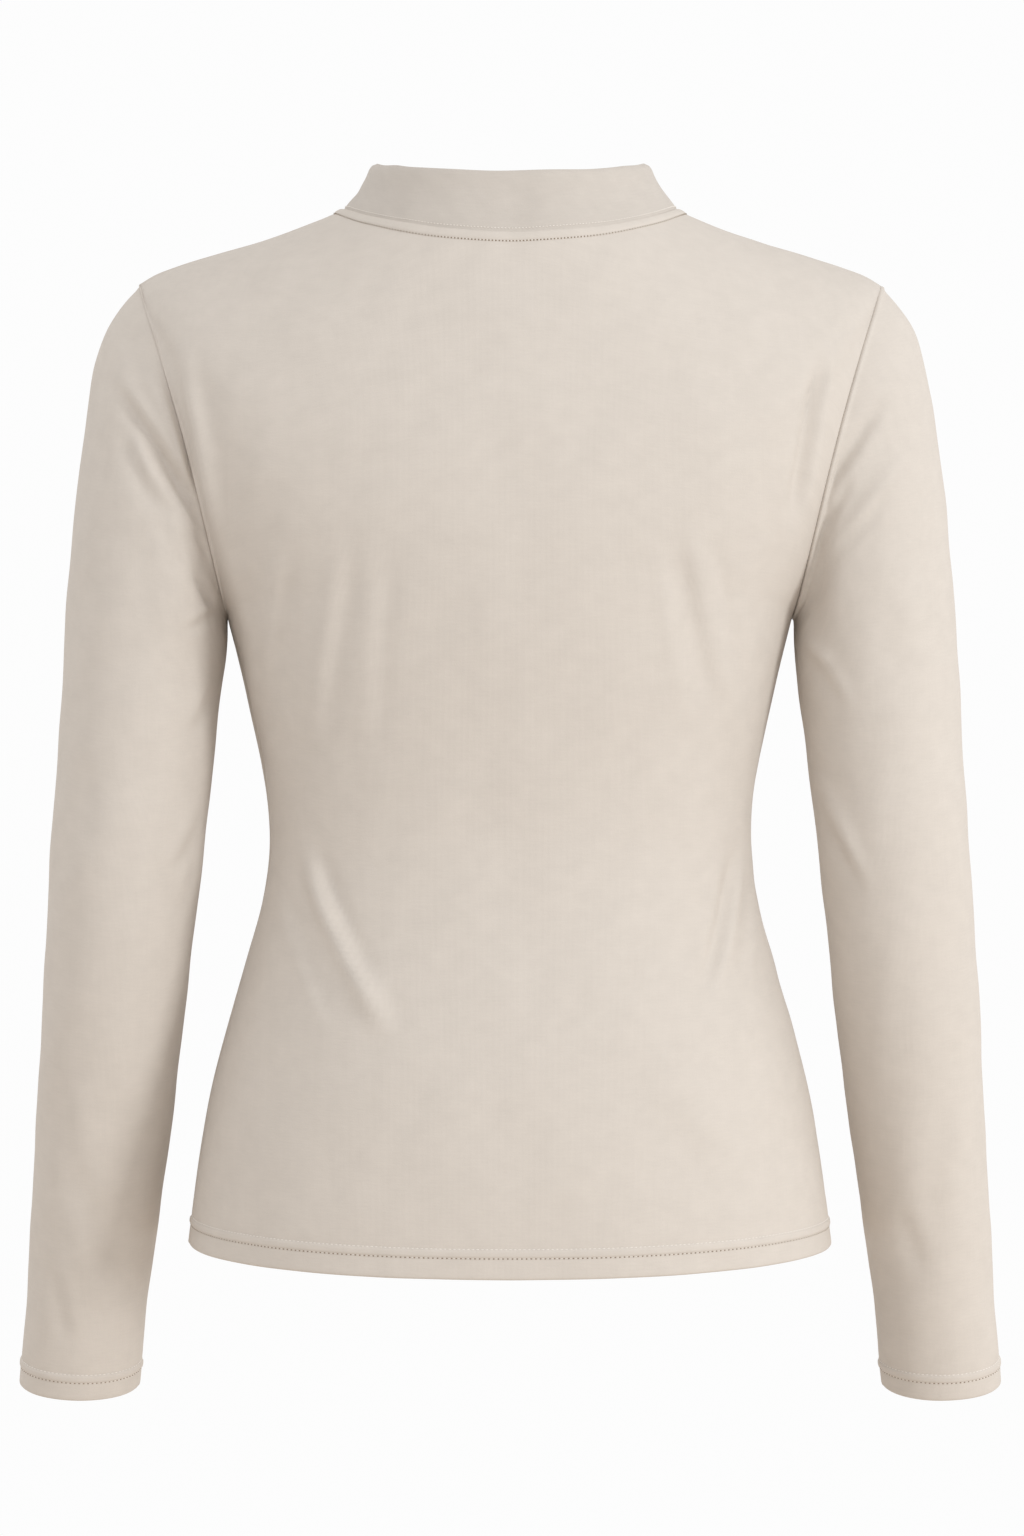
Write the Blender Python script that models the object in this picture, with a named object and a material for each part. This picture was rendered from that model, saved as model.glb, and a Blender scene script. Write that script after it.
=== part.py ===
"""A women's fitted, long-sleeved top with a mock neck, hollow as it is worn.

Five cut pieces, each one closed solid: back, front, two sleeves and a folded collar.
The world's origin is the middle of the neck opening, level with the neck points of the
shoulder seams. +Z is up, +Y is the wearer's front and +X the wearer's right-hand side.
Tables and named sizes are in millimetres; only the finished meshes are in metres.

A panel is a stack of rows. Each row runs from one edge of the panel to the other along a
flattened ellipse, and its two ends lie on the side seam, then the armhole, then the
shoulder seam. A sleeve is a fan of sections that starts as the armhole itself. Pieces
that are sewn together share the seam's points and the slant of its rim, and each stops
half of SEAM_GAP short of the seam.
"""
from collections import namedtuple

import bpy
import numpy as np

MM = 0.001

# The cloth
CLOTH_WALL = 1.5
HEM_WALL = 2.4
COLLAR_WALL = 2.6
SEAM_GAP = 0.3
MITRE_LIMIT = 0.5          # least cosine of half the angle between two sewn pieces

# Twin-needle ridges: how far they lie from the edge, and how proud they are
RIDGE_HEIGHT = 0.9
HEM_RIDGE = (10.4, 14.9)
CUFF_RIDGE = (9.8, 14.3)
NECK_RIDGE = (0.0, 5.6)
RIDGE_SLOPE = 0.9          # width of each of a ridge's two sloping sides
NECK_RIDGE_SPREAD = 0.9    # the neck ridge's width at the shoulder, seen from behind
FAR_FROM_EDGE = 1000.0

# Rows and columns of the meshes
SIDE_ROWS = 16
ARMHOLE_ROWS = 12
SHOULDER_ROWS = 8
PANEL_COLUMNS = 28
CAP_ROWS = 12
ARM_ROWS = 13

# Landmarks of the right half of the body, seen from behind (x, z)
NECK_POINT = (90.0, 1.2)
SHOULDER_TIP = (200.0, -39.5)
UNDERARM = (152.2, -217.0)
HEM_SIDE = -556.0
ARMHOLE_DEPTH = {"back": -52.0, "front": 46.0}
ARMHOLE_HOLLOW = 4.4       # how far the armhole curves in from a straight line
HOLLOW_POWER = 0.85        # below 1 puts the deepest part of that curve lower down
ARMHOLE_NARROWING = 0.3    # makes the oval narrower towards the shoulder tip
SECTION_FLATNESS = 1.15    # 1 is a true ellipse, more is flatter across the middle
ROW_DROP_POWER = 1.5       # shape of a row's fall from its ends to its middle
TIP_ROUNDING = 1.6         # crowds the rows that cross the shoulder seam near its tip
BLADE_POWER = 0.35         # added to ROW_DROP_POWER at the shoulder tip's row
BLADE_ROUNDING = 0.8       # rounds the rows between the shoulder's top and the armhole
NORMAL_SMOOTHING = 4       # passes that even out the direction of the wall's thickness
EDGE_FADE = 0.12           # share of a panel's half width over which its creases fade out

# The sleeve's cap, where its sections turn from the armhole's slant to level
CAP_END = -300.0
CAP_SPACING = 1.35         # above 1 crowds the rows towards the armhole
ARMHOLE_REACH = 150.0      # length over which the sections shed the armhole's shape
ROWS_TO_CREASE = 3         # rows from the armhole over which the creases fade in
FACING_SHARPNESS = 2.5     # how fast a crease of one side fades at the sleeve's edges

SideRow = namedtuple("SideRow", "height half_width")
SIDE = [
    SideRow(-556, 173.2),
    SideRow(-501, 165.8),
    SideRow(-468, 159.6),
    SideRow(-436, 151.2),
    SideRow(-403, 141.5),
    SideRow(-371, 132.8),
    SideRow(-338, 129.1),
    SideRow(-317, 130.4),
    SideRow(-295, 134.2),
    SideRow(-263, 141.2),
    SideRow(-231, 148.6),
    SideRow(-217, 152.2),
]

# How far the middle of each panel stands behind or before the seams, from hem to neck
MiddleRow = namedtuple("MiddleRow", "height depth")
MIDDLE = {
    "back": [
        MiddleRow(-562, 113),
        MiddleRow(-500, 110),
        MiddleRow(-436, 98),
        MiddleRow(-400, 87.5),
        MiddleRow(-370, 80.5),
        MiddleRow(-338, 78),
        MiddleRow(-305, 82),
        MiddleRow(-263, 91.5),
        MiddleRow(-220, 100),
        MiddleRow(-170, 104.5),
        MiddleRow(-120, 102.5),
        MiddleRow(-80, 94.5),
        MiddleRow(-50, 85.5),
        MiddleRow(-19.6, 75),
    ],
    "front": [
        MiddleRow(-562, 98),
        MiddleRow(-500, 100),
        MiddleRow(-436, 98),
        MiddleRow(-371, 92),
        MiddleRow(-338, 92),
        MiddleRow(-305, 99),
        MiddleRow(-270, 111),
        MiddleRow(-235, 118.5),
        MiddleRow(-200, 118.5),
        MiddleRow(-160, 112),
        MiddleRow(-118, 102.5),
        MiddleRow(-90, 94.5),
        MiddleRow(-62, 85),
    ],
}
MIDDLE_AT_UNDERARM = -208.0
MIDDLE_AT_TIP = {"back": -128.0, "front": -155.0}
HEM_CENTRE_DROP = 6.2

ShoulderPoint = namedtuple("ShoulderPoint", "x height")
SHOULDER = [
    ShoulderPoint(90, 1.2),
    ShoulderPoint(97, -2.4),
    ShoulderPoint(110, -7.6),
    ShoulderPoint(130, -15),
    ShoulderPoint(157, -23),
    ShoulderPoint(180, -30),
    ShoulderPoint(192, -34.6),
    ShoulderPoint(200, -39.5),
]

SleeveRow = namedtuple(
    "SleeveRow", "outer_z outer_x inner_z inner_x half_depth middle_y back_drop"
)
SLEEVE = [
    SleeveRow(-39.5, 200.0, -217, 152.2, 49, -3, 0),
    SleeveRow(-47, 207.0, -219.5, 153.0, 49.5, -3, 0),
    SleeveRow(-58, 214.7, -222, 153.2, 50, -3, 0),
    SleeveRow(-79, 222.8, -226, 153.2, 50, -3, 0),
    SleeveRow(-101, 227.0, -230.5, 153.2, 50, -4, 0),
    SleeveRow(-144, 232.8, -240, 153.8, 49.5, -4, 0),
    SleeveRow(-198, 237.6, -253, 155.3, 48, -5, 0),
    SleeveRow(-249, 241.0, -271, 157.2, 46.5, -6, 0),
    SleeveRow(-300, 244.0, -304, 161.0, 45, -7, 0),
    SleeveRow(-349, 247.2, -349, 166.2, 43, -8, 0),
    SleeveRow(-425, 252.4, -425, 175.0, 40, -2, 1),
    SleeveRow(-479, 255.8, -480, 182.4, 37, 7, 2),
    SleeveRow(-533, 260.0, -535, 190.6, 34, 17, 3.5),
    SleeveRow(-587, 264.4, -589, 198.4, 31.5, 27, 5),
    SleeveRow(-636, 269.0, -638, 203.8, 30, 35.5, 5.6),
]

# The collar, at the side, the middle of the back and the middle of the front
CollarSize = namedtuple("CollarSize", "lean height")
COLLAR = {
    "side": CollarSize(18.0, 25.8),
    "back": CollarSize(9.0, 32.3),
    "front": CollarSize(13.0, 31.0),
}
ProfilePoint = namedtuple("ProfilePoint", "lean height")
COLLAR_PROFILE = [
    ProfilePoint(0.00, 0.00),
    ProfilePoint(0.23, 0.21),
    ProfilePoint(0.46, 0.43),
    ProfilePoint(0.64, 0.65),
    ProfilePoint(0.76, 0.85),
    ProfilePoint(0.84, 0.95),
    ProfilePoint(0.93, 1.00),
]

# The fold at the collar's top: how far the last ring lies in, as a share of the wall,
# and how far it lies below the ring before it
ROLL_IN = 0.55
ROLL_DROP = 0.2

# The largest creases, seen from behind: a soft trough from start to end, bowed sideways
CREASE_OVERRUN = 0.15      # share of its length a crease runs on past each end
CREASE_TAPER = 0.45        # share of its length over which it fades out
Crease = namedtuple("Crease", "start_x start_z end_x end_z bow half_width depth")
BACK_CREASES = [
    Crease(-119, -338, -73, -433, -3, 6.5, 5.0),
    Crease(-92, -348, -64, -395, 2, 6.0, 2.6),
    Crease(-124, -352, -116, -402, 0, 5.0, 2.4),
    Crease(95, -180, 107, -246, 3, 8.0, 3.2),
    Crease(122, -332, 104, -405, 3, 6.0, 2.6),
    Crease(-82, -165, -80, -240, 0, 9.0, 2.2),
    Crease(-118, -215, -112, -262, 0, 8.0, 2.2),
]
FRONT_CREASES = [
    Crease(-118, -340, -80, -410, -3, 6.5, 3.6),
    Crease(118, -338, 84, -402, 3, 6.5, 3.4),
    Crease(-146, -150, -108, -178, 2, 8.0, 3.0),
    Crease(145, -155, 112, -186, -2, 8.0, 3.0),
]
SLEEVE_CREASES = {
    "left": {
        "back": [
            Crease(-200, -105, -168, -160, 3, 6.0, 4.6),
            Crease(-198, -128, -176, -180, 2, 7.0, 2.0),
            Crease(-162, -338, -184, -372, 2, 7.0, 2.4),
        ],
        "front": [
            Crease(-204, -112, -170, -158, 3, 7.0, 3.4),
            Crease(-166, -330, -196, -352, 2, 7.0, 2.4),
        ],
    },
    "right": {
        "back": [
            Crease(196, -108, 167, -158, -3, 6.0, 4.0),
            Crease(204, -142, 163, -190, -2, 7.0, 3.4),
            Crease(162, -236, 184, -276, -2, 8.0, 2.6),
            Crease(168, -322, 190, -366, -2, 7.0, 2.6),
        ],
        "front": [
            Crease(204, -116, 170, -160, -3, 7.0, 3.2),
            Crease(166, -334, 194, -360, -2, 7.0, 2.4),
        ],
    },
}

CREAM = (0.72, 0.66, 0.58, 1.0)
ROUGHNESS = 0.85
SHARP_ANGLE = 50           # degrees; edges that turn by more are shaded sharp


def smooth(stations, values, at):
    """Cubic through a table's values; its slope at a station is that of its neighbours."""
    order = np.argsort(stations)
    stations = np.asarray(stations, float)[order]
    values = np.asarray(values, float)[order]
    slopes = np.gradient(values, stations)
    at = np.clip(at, stations[0], stations[-1])
    left = np.clip(np.searchsorted(stations, at, side="right") - 1, 0, len(stations) - 2)
    span = stations[left + 1] - stations[left]
    t = (at - stations[left]) / span
    start = (1 + 2 * t) * (1 - t) ** 2 * values[left]
    end = t * t * (3 - 2 * t) * values[left + 1]
    leaving = t * (1 - t) ** 2 * span * slopes[left]
    arriving = t * t * (t - 1) * span * slopes[left + 1]
    return start + end + leaving + arriving


def column(table, name):
    """One named column of a table."""
    return [getattr(row, name) for row in table]


def unit(vectors):
    """Vectors scaled to length 1."""
    return vectors / np.linalg.norm(vectors, axis=-1, keepdims=True)


def normals_of(points, wraps):
    """Outward normals of a grid: its across direction crossed with its along direction."""
    if wraps:
        across = np.roll(points, -1, axis=1) - np.roll(points, 1, axis=1)
    else:
        across = np.gradient(points, axis=1)
    return unit(np.cross(across, np.gradient(points, axis=0)))


def smooth_normals(normals):
    """Normals averaged with those of the rows above and below, ends kept."""
    for _ in range(NORMAL_SMOOTHING):
        inner = (normals[:-2] + 2 * normals[1:-1] + normals[2:]) / 4
        normals = unit(np.concatenate([normals[:1], inner, normals[-1:]]))
    return normals


def ridge_stations(ridge):
    """Distances at which rows are needed so that a ridge has two sloping sides."""
    low, high = ridge
    return [low, low + RIDGE_SLOPE, high - RIDGE_SLOPE, high]


def ridge_lift(distance, ridge):
    """How proud a ridge is at a distance from the edge: flat top, straight slopes."""
    low, high = ridge
    rise = np.minimum(distance - low, high - distance) / RIDGE_SLOPE
    return RIDGE_HEIGHT * np.clip(rise, 0.0, 1.0)


def armhole(angle, face):
    """The armhole seam: half an oval from the shoulder tip (angle 0) to the underarm (pi)."""
    down = (1 - np.cos(angle)) / 2
    hollow = ARMHOLE_HOLLOW * np.sin(np.pi * down ** HOLLOW_POWER)
    x = SHOULDER_TIP[0] + (UNDERARM[0] - SHOULDER_TIP[0]) * down - hollow
    narrowing = 1 + ARMHOLE_NARROWING * (1 - down)
    y = ARMHOLE_DEPTH[face] * np.clip(np.sin(angle), 0, 1) ** narrowing
    z = SHOULDER_TIP[1] + (UNDERARM[1] - SHOULDER_TIP[1]) * down
    return np.stack([x, y, z], axis=-1)


def panel_rows(face):
    """Ends, middle height, depth and hem distance of every row, from the hem to the neck."""
    table = MIDDLE[face]
    middle_low, middle_high = MIDDLE_AT_UNDERARM, MIDDLE_AT_TIP[face]
    hem_marks = np.array([0.0, *ridge_stations(HEM_RIDGE)])
    plain = np.linspace(HEM_SIDE + hem_marks[-1], UNDERARM[1], SIDE_ROWS + 1)[1:]
    side_z = np.concatenate([HEM_SIDE + hem_marks, plain])
    side_x = smooth(column(SIDE, "height"), column(SIDE, "half_width"), side_z)
    side_ends = np.stack([side_x, 0 * side_x, side_z], axis=-1)
    rise = (side_z - HEM_SIDE) / (UNDERARM[1] - HEM_SIDE)
    side_middle = side_z - HEM_CENTRE_DROP * (1 - rise) ** 2
    side_middle += (middle_low - UNDERARM[1]) * rise ** 3

    turn = np.linspace(np.pi, 0.0, ARMHOLE_ROWS + 1)[1:]
    arm_ends = armhole(turn, face)
    arm_middle = np.linspace(middle_low, middle_high, ARMHOLE_ROWS + 1)[1:]

    neck_marks = np.array(ridge_stations(NECK_RIDGE))[::-1]
    neck_x = NECK_POINT[0] + neck_marks * NECK_RIDGE_SPREAD
    neck_middle = table[-1].height - neck_marks
    part = np.linspace(0.0, 1.0, SHOULDER_ROWS + 2)[1:-1]
    over_shoulder = SHOULDER_TIP[0] + (neck_x[0] - SHOULDER_TIP[0]) * part ** TIP_ROUNDING
    top_x = np.append(over_shoulder, neck_x)
    top_middle = middle_high + (neck_middle[0] - middle_high) * part
    top_z = smooth(column(SHOULDER, "x"), column(SHOULDER, "height"), top_x)
    top_ends = np.stack([top_x, 0 * top_x, top_z], axis=-1)

    middle = np.concatenate([side_middle, arm_middle, top_middle, neck_middle])
    arm_rounding = (arm_ends[:, 2] - UNDERARM[1]) / (SHOULDER_TIP[1] - UNDERARM[1])
    top_rounding = (top_x - NECK_POINT[0]) / (SHOULDER_TIP[0] - NECK_POINT[0])
    nearness = np.concatenate([0 * side_z, arm_rounding, top_rounding])
    far = np.full(len(middle), FAR_FROM_EDGE)
    hem_distance, neck_distance = far.copy(), far
    hem_distance[:len(side_z)] = side_z - HEM_SIDE
    neck_distance[-len(neck_marks):] = neck_marks
    return {
        "ends": np.concatenate([side_ends, arm_ends, top_ends]),
        "middle": middle,
        "power": ROW_DROP_POWER + BLADE_POWER * nearness,
        "rounding": 1 + BLADE_ROUNDING * nearness,
        "depth": smooth(column(table, "height"), column(table, "depth"), middle),
        "underarm_row": len(side_z) - 1,
        "tip_row": len(side_z) - 1 + ARMHOLE_ROWS,
        "hem_distance": hem_distance,
        "neck_distance": neck_distance,
    }


def panel_surface(rows, face):
    """A panel's outer points, before its creases.

    Along a row, x is the half width times the sine of an angle. The distance behind (or
    in front of) the side is the depth times 1 - (1 - cosine) ** SECTION_FLATNESS. The
    height changes from a ridge, at a quarter turn, to the row's middle by 1 - (1 - cosine
    ** power) ** rounding. Where the armhole cuts a row short, the ridge is where it would
    have been.
    """
    outward = -1.0 if face == "back" else 1.0
    end_x, end_y, end_z = rows["ends"].T
    depth, middle = rows["depth"], rows["middle"]
    end_cosine = 1 - (1 - np.abs(end_y) / depth) ** (1 / SECTION_FLATNESS)
    end_angle = np.arccos(end_cosine)
    power, rounding = rows["power"], rows["rounding"]
    fallen = 1 - (1 - end_cosine ** power) ** rounding
    ridge = (end_z - middle * fallen) / (1 - fallen)
    across = np.linspace(-1.0, 1.0, PANEL_COLUMNS + 1) * -outward
    angle = end_angle[:, None] * across[None, :]
    cosine = np.clip(np.cos(angle), 0, 1)
    x = (end_x / np.sin(end_angle))[:, None] * np.sin(angle)
    y = outward * depth[:, None] * (1 - (1 - cosine) ** SECTION_FLATNESS)
    fall = 1 - (1 - cosine ** power[:, None]) ** rounding[:, None]
    z = ridge[:, None] + (middle - ridge)[:, None] * fall
    return np.stack([x, y, z], axis=-1)


def sleeve_surface():
    """The right sleeve's outer points, before its creases: a fan of oval sections.

    Column angle 0 is the outer edge of the arm, a quarter turn is its back, half a turn
    its inside. The first section is the armhole, and the sections shed its shape as they
    turn level.
    """
    turn = np.arange(2 * ARMHOLE_ROWS) * np.pi / ARMHOLE_ROWS
    folded = np.where(turn <= np.pi, turn, 2 * np.pi - turn)
    loop = np.where(
        (turn <= np.pi)[:, None], armhole(folded, "back"), armhole(folded, "front")
    )
    steps = np.linspace(0.0, 1.0, CAP_ROWS + 1) ** CAP_SPACING
    cap_z = SHOULDER_TIP[1] + (CAP_END - SHOULDER_TIP[1]) * steps
    cuff_z = SLEEVE[-1].outer_z
    marks = sorted([0.0, *ridge_stations(CUFF_RIDGE)], reverse=True)
    arm_z = np.linspace(CAP_END, cuff_z + marks[0], ARM_ROWS + 1)[1:-1]
    outer_z = np.concatenate([cap_z, arm_z, cuff_z + np.array(marks)])
    stations = column(SLEEVE, "outer_z")
    found = {
        name: smooth(stations, column(SLEEVE, name), outer_z)[:, None]
        for name in SleeveRow._fields[1:]
    }
    outer_z = outer_z[:, None]
    wide = (1 + np.cos(turn))[None, :] / 2
    deep = np.sin(turn)[None, :]
    x = found["inner_x"] + (found["outer_x"] - found["inner_x"]) * wide
    y = found["middle_y"] * np.ones_like(wide) - found["half_depth"] * deep
    z = found["inner_z"] + (outer_z - found["inner_z"]) * wide - found["back_drop"] * deep
    points = np.stack([x, y, z], axis=-1)
    shed = np.clip(1 - (SHOULDER_TIP[1] - outer_z) / ARMHOLE_REACH, 0, 1) ** 2
    points += (loop - points[0])[None] * shed[:, :, None]
    return points, (outer_z - cuff_z)[:, 0]


def crease_depth(points, creases):
    """Depth of the creases at each point, in the plane seen from behind.

    A crease is a line from start to end, bowed sideways as a parabola. Its section is a
    bell curve, and its depth fades out towards both ends.
    """
    depth = np.zeros(points.shape[:-1])
    for crease in creases:
        start = np.array([crease.start_x, crease.start_z])
        run = np.array([crease.end_x, crease.end_z]) - start
        length = np.hypot(*run)
        along_way = run / length
        offset = points[..., [0, 2]] - start
        along = (offset @ along_way) / length
        sideways = offset @ np.array([-along_way[1], along_way[0]])
        sideways -= 4 * crease.bow * along * (1 - along)
        to_end = np.minimum(along, 1 - along) + CREASE_OVERRUN
        taper = np.clip(to_end / CREASE_TAPER, 0, 1)
        taper = taper * taper * (3 - 2 * taper)
        depth += crease.depth * taper * np.exp(-(sideways / crease.half_width) ** 2)
    return depth


def seam(points, first_normals, second_normals, tangents):
    """A seam's rim: its slant inwards, longer where the pieces meet at an angle."""
    slant = -unit(first_normals + second_normals)
    cosine = np.clip(-np.sum(slant * first_normals, axis=-1), MITRE_LIMIT, 1)
    return {"points": points, "slant": slant / cosine[:, None], "tangents": unit(tangents)}


def aside(seam_data, inwards):
    """Half the seam gap, square to the rim, towards the piece's own side."""
    square = unit(np.cross(seam_data["tangents"], seam_data["slant"]))
    side = np.sign(np.sum(square * inwards, axis=-1, keepdims=True))
    return square * side * SEAM_GAP / 2


def ring_tangents(points):
    """Tangents of a closed ring of points."""
    return np.roll(points, -1, axis=0) - np.roll(points, 1, axis=0)


def grid_faces(rows, columns, wraps_across, wraps_along=False):
    """Quads of a grid whose normals are across x along."""
    faces = []
    for row in range(rows if wraps_along else rows - 1):
        above = (row + 1) % rows
        for col in range(columns if wraps_across else columns - 1):
            beside = (col + 1) % columns
            faces.append(
                (row * columns + col, row * columns + beside,
                 above * columns + beside, above * columns + col)
            )
    return faces


def shell_faces(rows, columns, wraps):
    """Faces of a closed wall: outer grid, inner grid turned over, and a rim on each edge."""
    outer = grid_faces(rows, columns, wraps)
    count = rows * columns
    faces = outer + [tuple(count + index for index in reversed(face)) for face in outer]
    last = (rows - 1) * columns
    for col in range(columns if wraps else columns - 1):
        beside = (col + 1) % columns
        faces.append((col, count + col, count + beside, beside))
        faces.append((last + beside, count + last + beside, count + last + col, last + col))
    if not wraps:
        for row in range(rows - 1):
            low, high = row * columns, (row + 1) * columns
            faces.append((low, high, count + high, count + low))
            low, high = low + columns - 1, high + columns - 1
            faces.append((high, low, count + low, count + high))
    return faces


def add_object(name, points, faces, material):
    """One mesh object in metres, shaded smooth but for its sharp edges."""
    mesh = bpy.data.meshes.new(name)
    mesh.from_pydata((np.reshape(points, (-1, 3)) * MM).tolist(), [], faces)
    mesh.validate()
    mesh.shade_smooth()
    mesh.set_sharp_from_angle(angle=np.radians(SHARP_ANGLE))
    mesh.materials.append(material)
    bpy.context.scene.collection.objects.link(bpy.data.objects.new(name, mesh))


def cloth_material(name):
    """Plain cream jersey."""
    material = bpy.data.materials.new(name)
    material.use_nodes = True
    shader = material.node_tree.nodes["Principled BSDF"]
    shader.inputs["Base Color"].default_value = CREAM
    shader.inputs["Roughness"].default_value = ROUGHNESS
    shader.inputs["Metallic"].default_value = 0.0
    return material


class Panel:
    """The back or the front: its rows, its outer points and their normals."""

    def __init__(self, face, creases):
        self.face = face
        self.rows = panel_rows(face)
        base = panel_surface(self.rows, face)
        columns = np.linspace(-1, 1, PANEL_COLUMNS + 1)
        edge_fade = np.clip((1 - np.abs(columns)) / EDGE_FADE, 0, 1)[None, :]
        sunk = crease_depth(base, creases) * edge_fade
        self.points = base - normals_of(base, False) * sunk[..., None]
        self.normals = normals_of(self.points, False)

    def edge(self, side):
        """Column index and the row of points on the wearer's left (-1) or right (+1)."""
        first_is_left = self.face == "back"
        col = 0 if (side < 0) == first_is_left else -1
        inner = 1 if col == 0 else -2
        inwards = self.points[:, inner] - self.points[:, col]
        return col, inwards


def side_seams(back, front, side):
    """Shared normals at the ends of the rows, for the seams that join back to front."""
    back_col, _ = back.edge(side)
    front_col, _ = front.edge(side)
    return unit(back.normals[:, back_col] + front.normals[:, front_col])


def armhole_ring(back, front, side, shared):
    """Points and body-side normals around an armhole: tip, back, underarm, front."""
    low, high = back.rows["underarm_row"], back.rows["tip_row"]
    back_col, _ = back.edge(side)
    front_col, _ = front.edge(side)
    back_part = slice(high - 1, low, -1)
    front_part = slice(low + 1, high)
    points = np.concatenate([
        back.points[high:high + 1, back_col], back.points[back_part, back_col],
        back.points[low:low + 1, back_col], front.points[front_part, front_col],
    ])
    normals = np.concatenate([
        shared[high:high + 1], back.normals[back_part, back_col],
        shared[low:low + 1], front.normals[front_part, front_col],
    ])
    return points, normals


def neck_ring(back, front, shared):
    """Points and body-side normals around the neckline: back left to right, then front."""
    points = np.concatenate([back.points[-1], front.points[-1, 1:-1]])
    normals = np.concatenate([back.normals[-1], front.normals[-1, 1:-1]])
    normals[0] = shared[-1][-1]
    normals[PANEL_COLUMNS] = shared[1][-1]
    return points, normals


def collar_surface(neck_points):
    """The collar's outer face: each neckline point leans in and rises by the profile.

    The lean and the height change from the side to the middle by the squared sine and
    cosine of the angle around the neck.
    """
    half_width = NECK_POINT[0]
    x, y, _ = neck_points.T
    behind = y < 0
    deep = np.where(behind, MIDDLE["back"][-1].depth, MIDDLE["front"][-1].depth)
    weight = np.clip(np.abs(x) / half_width, 0, 1) ** 2
    lean_mid = np.where(behind, COLLAR["back"].lean, COLLAR["front"].lean)
    height_mid = np.where(behind, COLLAR["back"].height, COLLAR["front"].height)
    lean = COLLAR["side"].lean * weight + lean_mid * (1 - weight)
    height = COLLAR["side"].height * weight + height_mid * (1 - weight)
    towards = unit(np.stack([-x / half_width ** 2, -y / deep ** 2, 0 * x], axis=-1))
    rings = []
    for point in COLLAR_PROFILE:
        ring = neck_points + towards * (lean * point.lean)[:, None]
        ring = ring + np.array([0, 0, 1]) * (height * point.height)[:, None]
        rings.append(ring)
    return np.stack(rings)


def build_panel(panel, armholes, joined, neck, material):
    """Turn a panel's surface into a closed wall whose rims lie along its seams.

    armholes and joined hold the seams of each side: the armhole, and the shoulder and
    side seam as one line.
    """
    rows = panel.rows
    low, high = rows["underarm_row"], rows["tip_row"]
    lift = ridge_lift(rows["hem_distance"], HEM_RIDGE)
    lift = lift + ridge_lift(rows["neck_distance"], NECK_RIDGE)
    doubled = rows["hem_distance"] < HEM_RIDGE[1] - RIDGE_SLOPE
    wall = np.where(doubled, HEM_WALL, CLOTH_WALL)[:, None, None]
    outer = panel.points + panel.normals * lift[:, None, None]
    inner = panel.points - smooth_normals(panel.normals) * wall
    for side in (-1, 1):
        col, inwards = panel.edge(side)
        slant = joined[side]["slant"].copy()
        shift = aside(joined[side], inwards)
        arm = armholes[side][panel.face]
        span = slice(low, high + 1)
        arm_shift = aside(arm, inwards[span])
        slant[span] = arm["slant"]
        shift[low + 1:high] = arm_shift[1:-1]
        shift[[low, high]] += arm_shift[[0, -1]]
        slant[-1] = neck["slant"][0 if col == 0 else -1]
        outer[:, col] = panel.points[:, col] - unit(slant) * lift[:, None] + shift
        inner[:, col] = panel.points[:, col] + slant * wall[:, 0] + shift
    down = panel.points[-2] - panel.points[-1]
    neck_shift = aside(neck, down)
    ends = [0, -1]
    middle = slice(1, -1)
    outer[-1, middle] = panel.points[-1, middle] + neck_shift[middle]
    inner[-1, middle] = panel.points[-1, middle] + (neck["slant"] * CLOTH_WALL + neck_shift)[middle]
    outer[-1, ends] += neck_shift[ends]
    inner[-1, ends] += neck_shift[ends]
    row_count, column_count = panel.points.shape[:2]
    faces = shell_faces(row_count, column_count, False)
    add_object(panel.face, np.concatenate([outer, inner]), faces, material)


def build_sleeve(name, points, cuff_distance, ring, creases, material):
    """A sleeve: a closed tube wall from the armhole's rim to the cuff."""
    row_fade = np.clip(np.arange(len(points)) / ROWS_TO_CREASE, 0, 1)[:, None]
    facing = np.clip(-normals_of(points, True)[..., 1] * FACING_SHARPNESS, -1, 1)
    sunk = crease_depth(points, creases["back"]) * np.clip(facing, 0, 1)
    sunk += crease_depth(points, creases["front"]) * np.clip(-facing, 0, 1)
    points = points - normals_of(points, True) * (sunk * row_fade)[..., None]
    normals = normals_of(points, True)
    lift = ridge_lift(cuff_distance, CUFF_RIDGE)[:, None, None]
    doubled = cuff_distance < CUFF_RIDGE[1] - RIDGE_SLOPE
    wall = np.where(doubled, HEM_WALL, CLOTH_WALL)[:, None, None]
    outer = points + normals * lift
    inner = points - normals * wall
    shift = aside(ring, points[1] - points[0])
    outer[0] = points[0] + shift
    inner[0] = points[0] + ring["slant"] * CLOTH_WALL + shift
    faces = shell_faces(points.shape[0], points.shape[1], True)
    add_object(name, np.concatenate([outer, inner]), faces, material)


def build_collar(points, ring, material):
    """The folded collar: outer face, rolled top edge, inner face, closed at the seam."""
    normals = normals_of(points, True)
    shift = aside(ring, points[1] - points[0])
    outer = points.copy()
    inner = (points - normals * COLLAR_WALL)[:-1]
    outer[0] = points[0] + shift
    inner[0] = points[0] + ring["slant"] * COLLAR_WALL + shift
    roll_in = points[-1] - normals[-1] * COLLAR_WALL * ROLL_IN
    roll_in[:, 2] -= ROLL_DROP
    rings = np.concatenate([outer, roll_in[None], inner[::-1]])
    faces = grid_faces(rings.shape[0], rings.shape[1], True, wraps_along=True)
    add_object("collar", rings, faces, material)


def part_ring(ring, indices):
    """The stretch of a ring's seam data at the given indices."""
    return {key: values[indices] for key, values in ring.items()}


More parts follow.
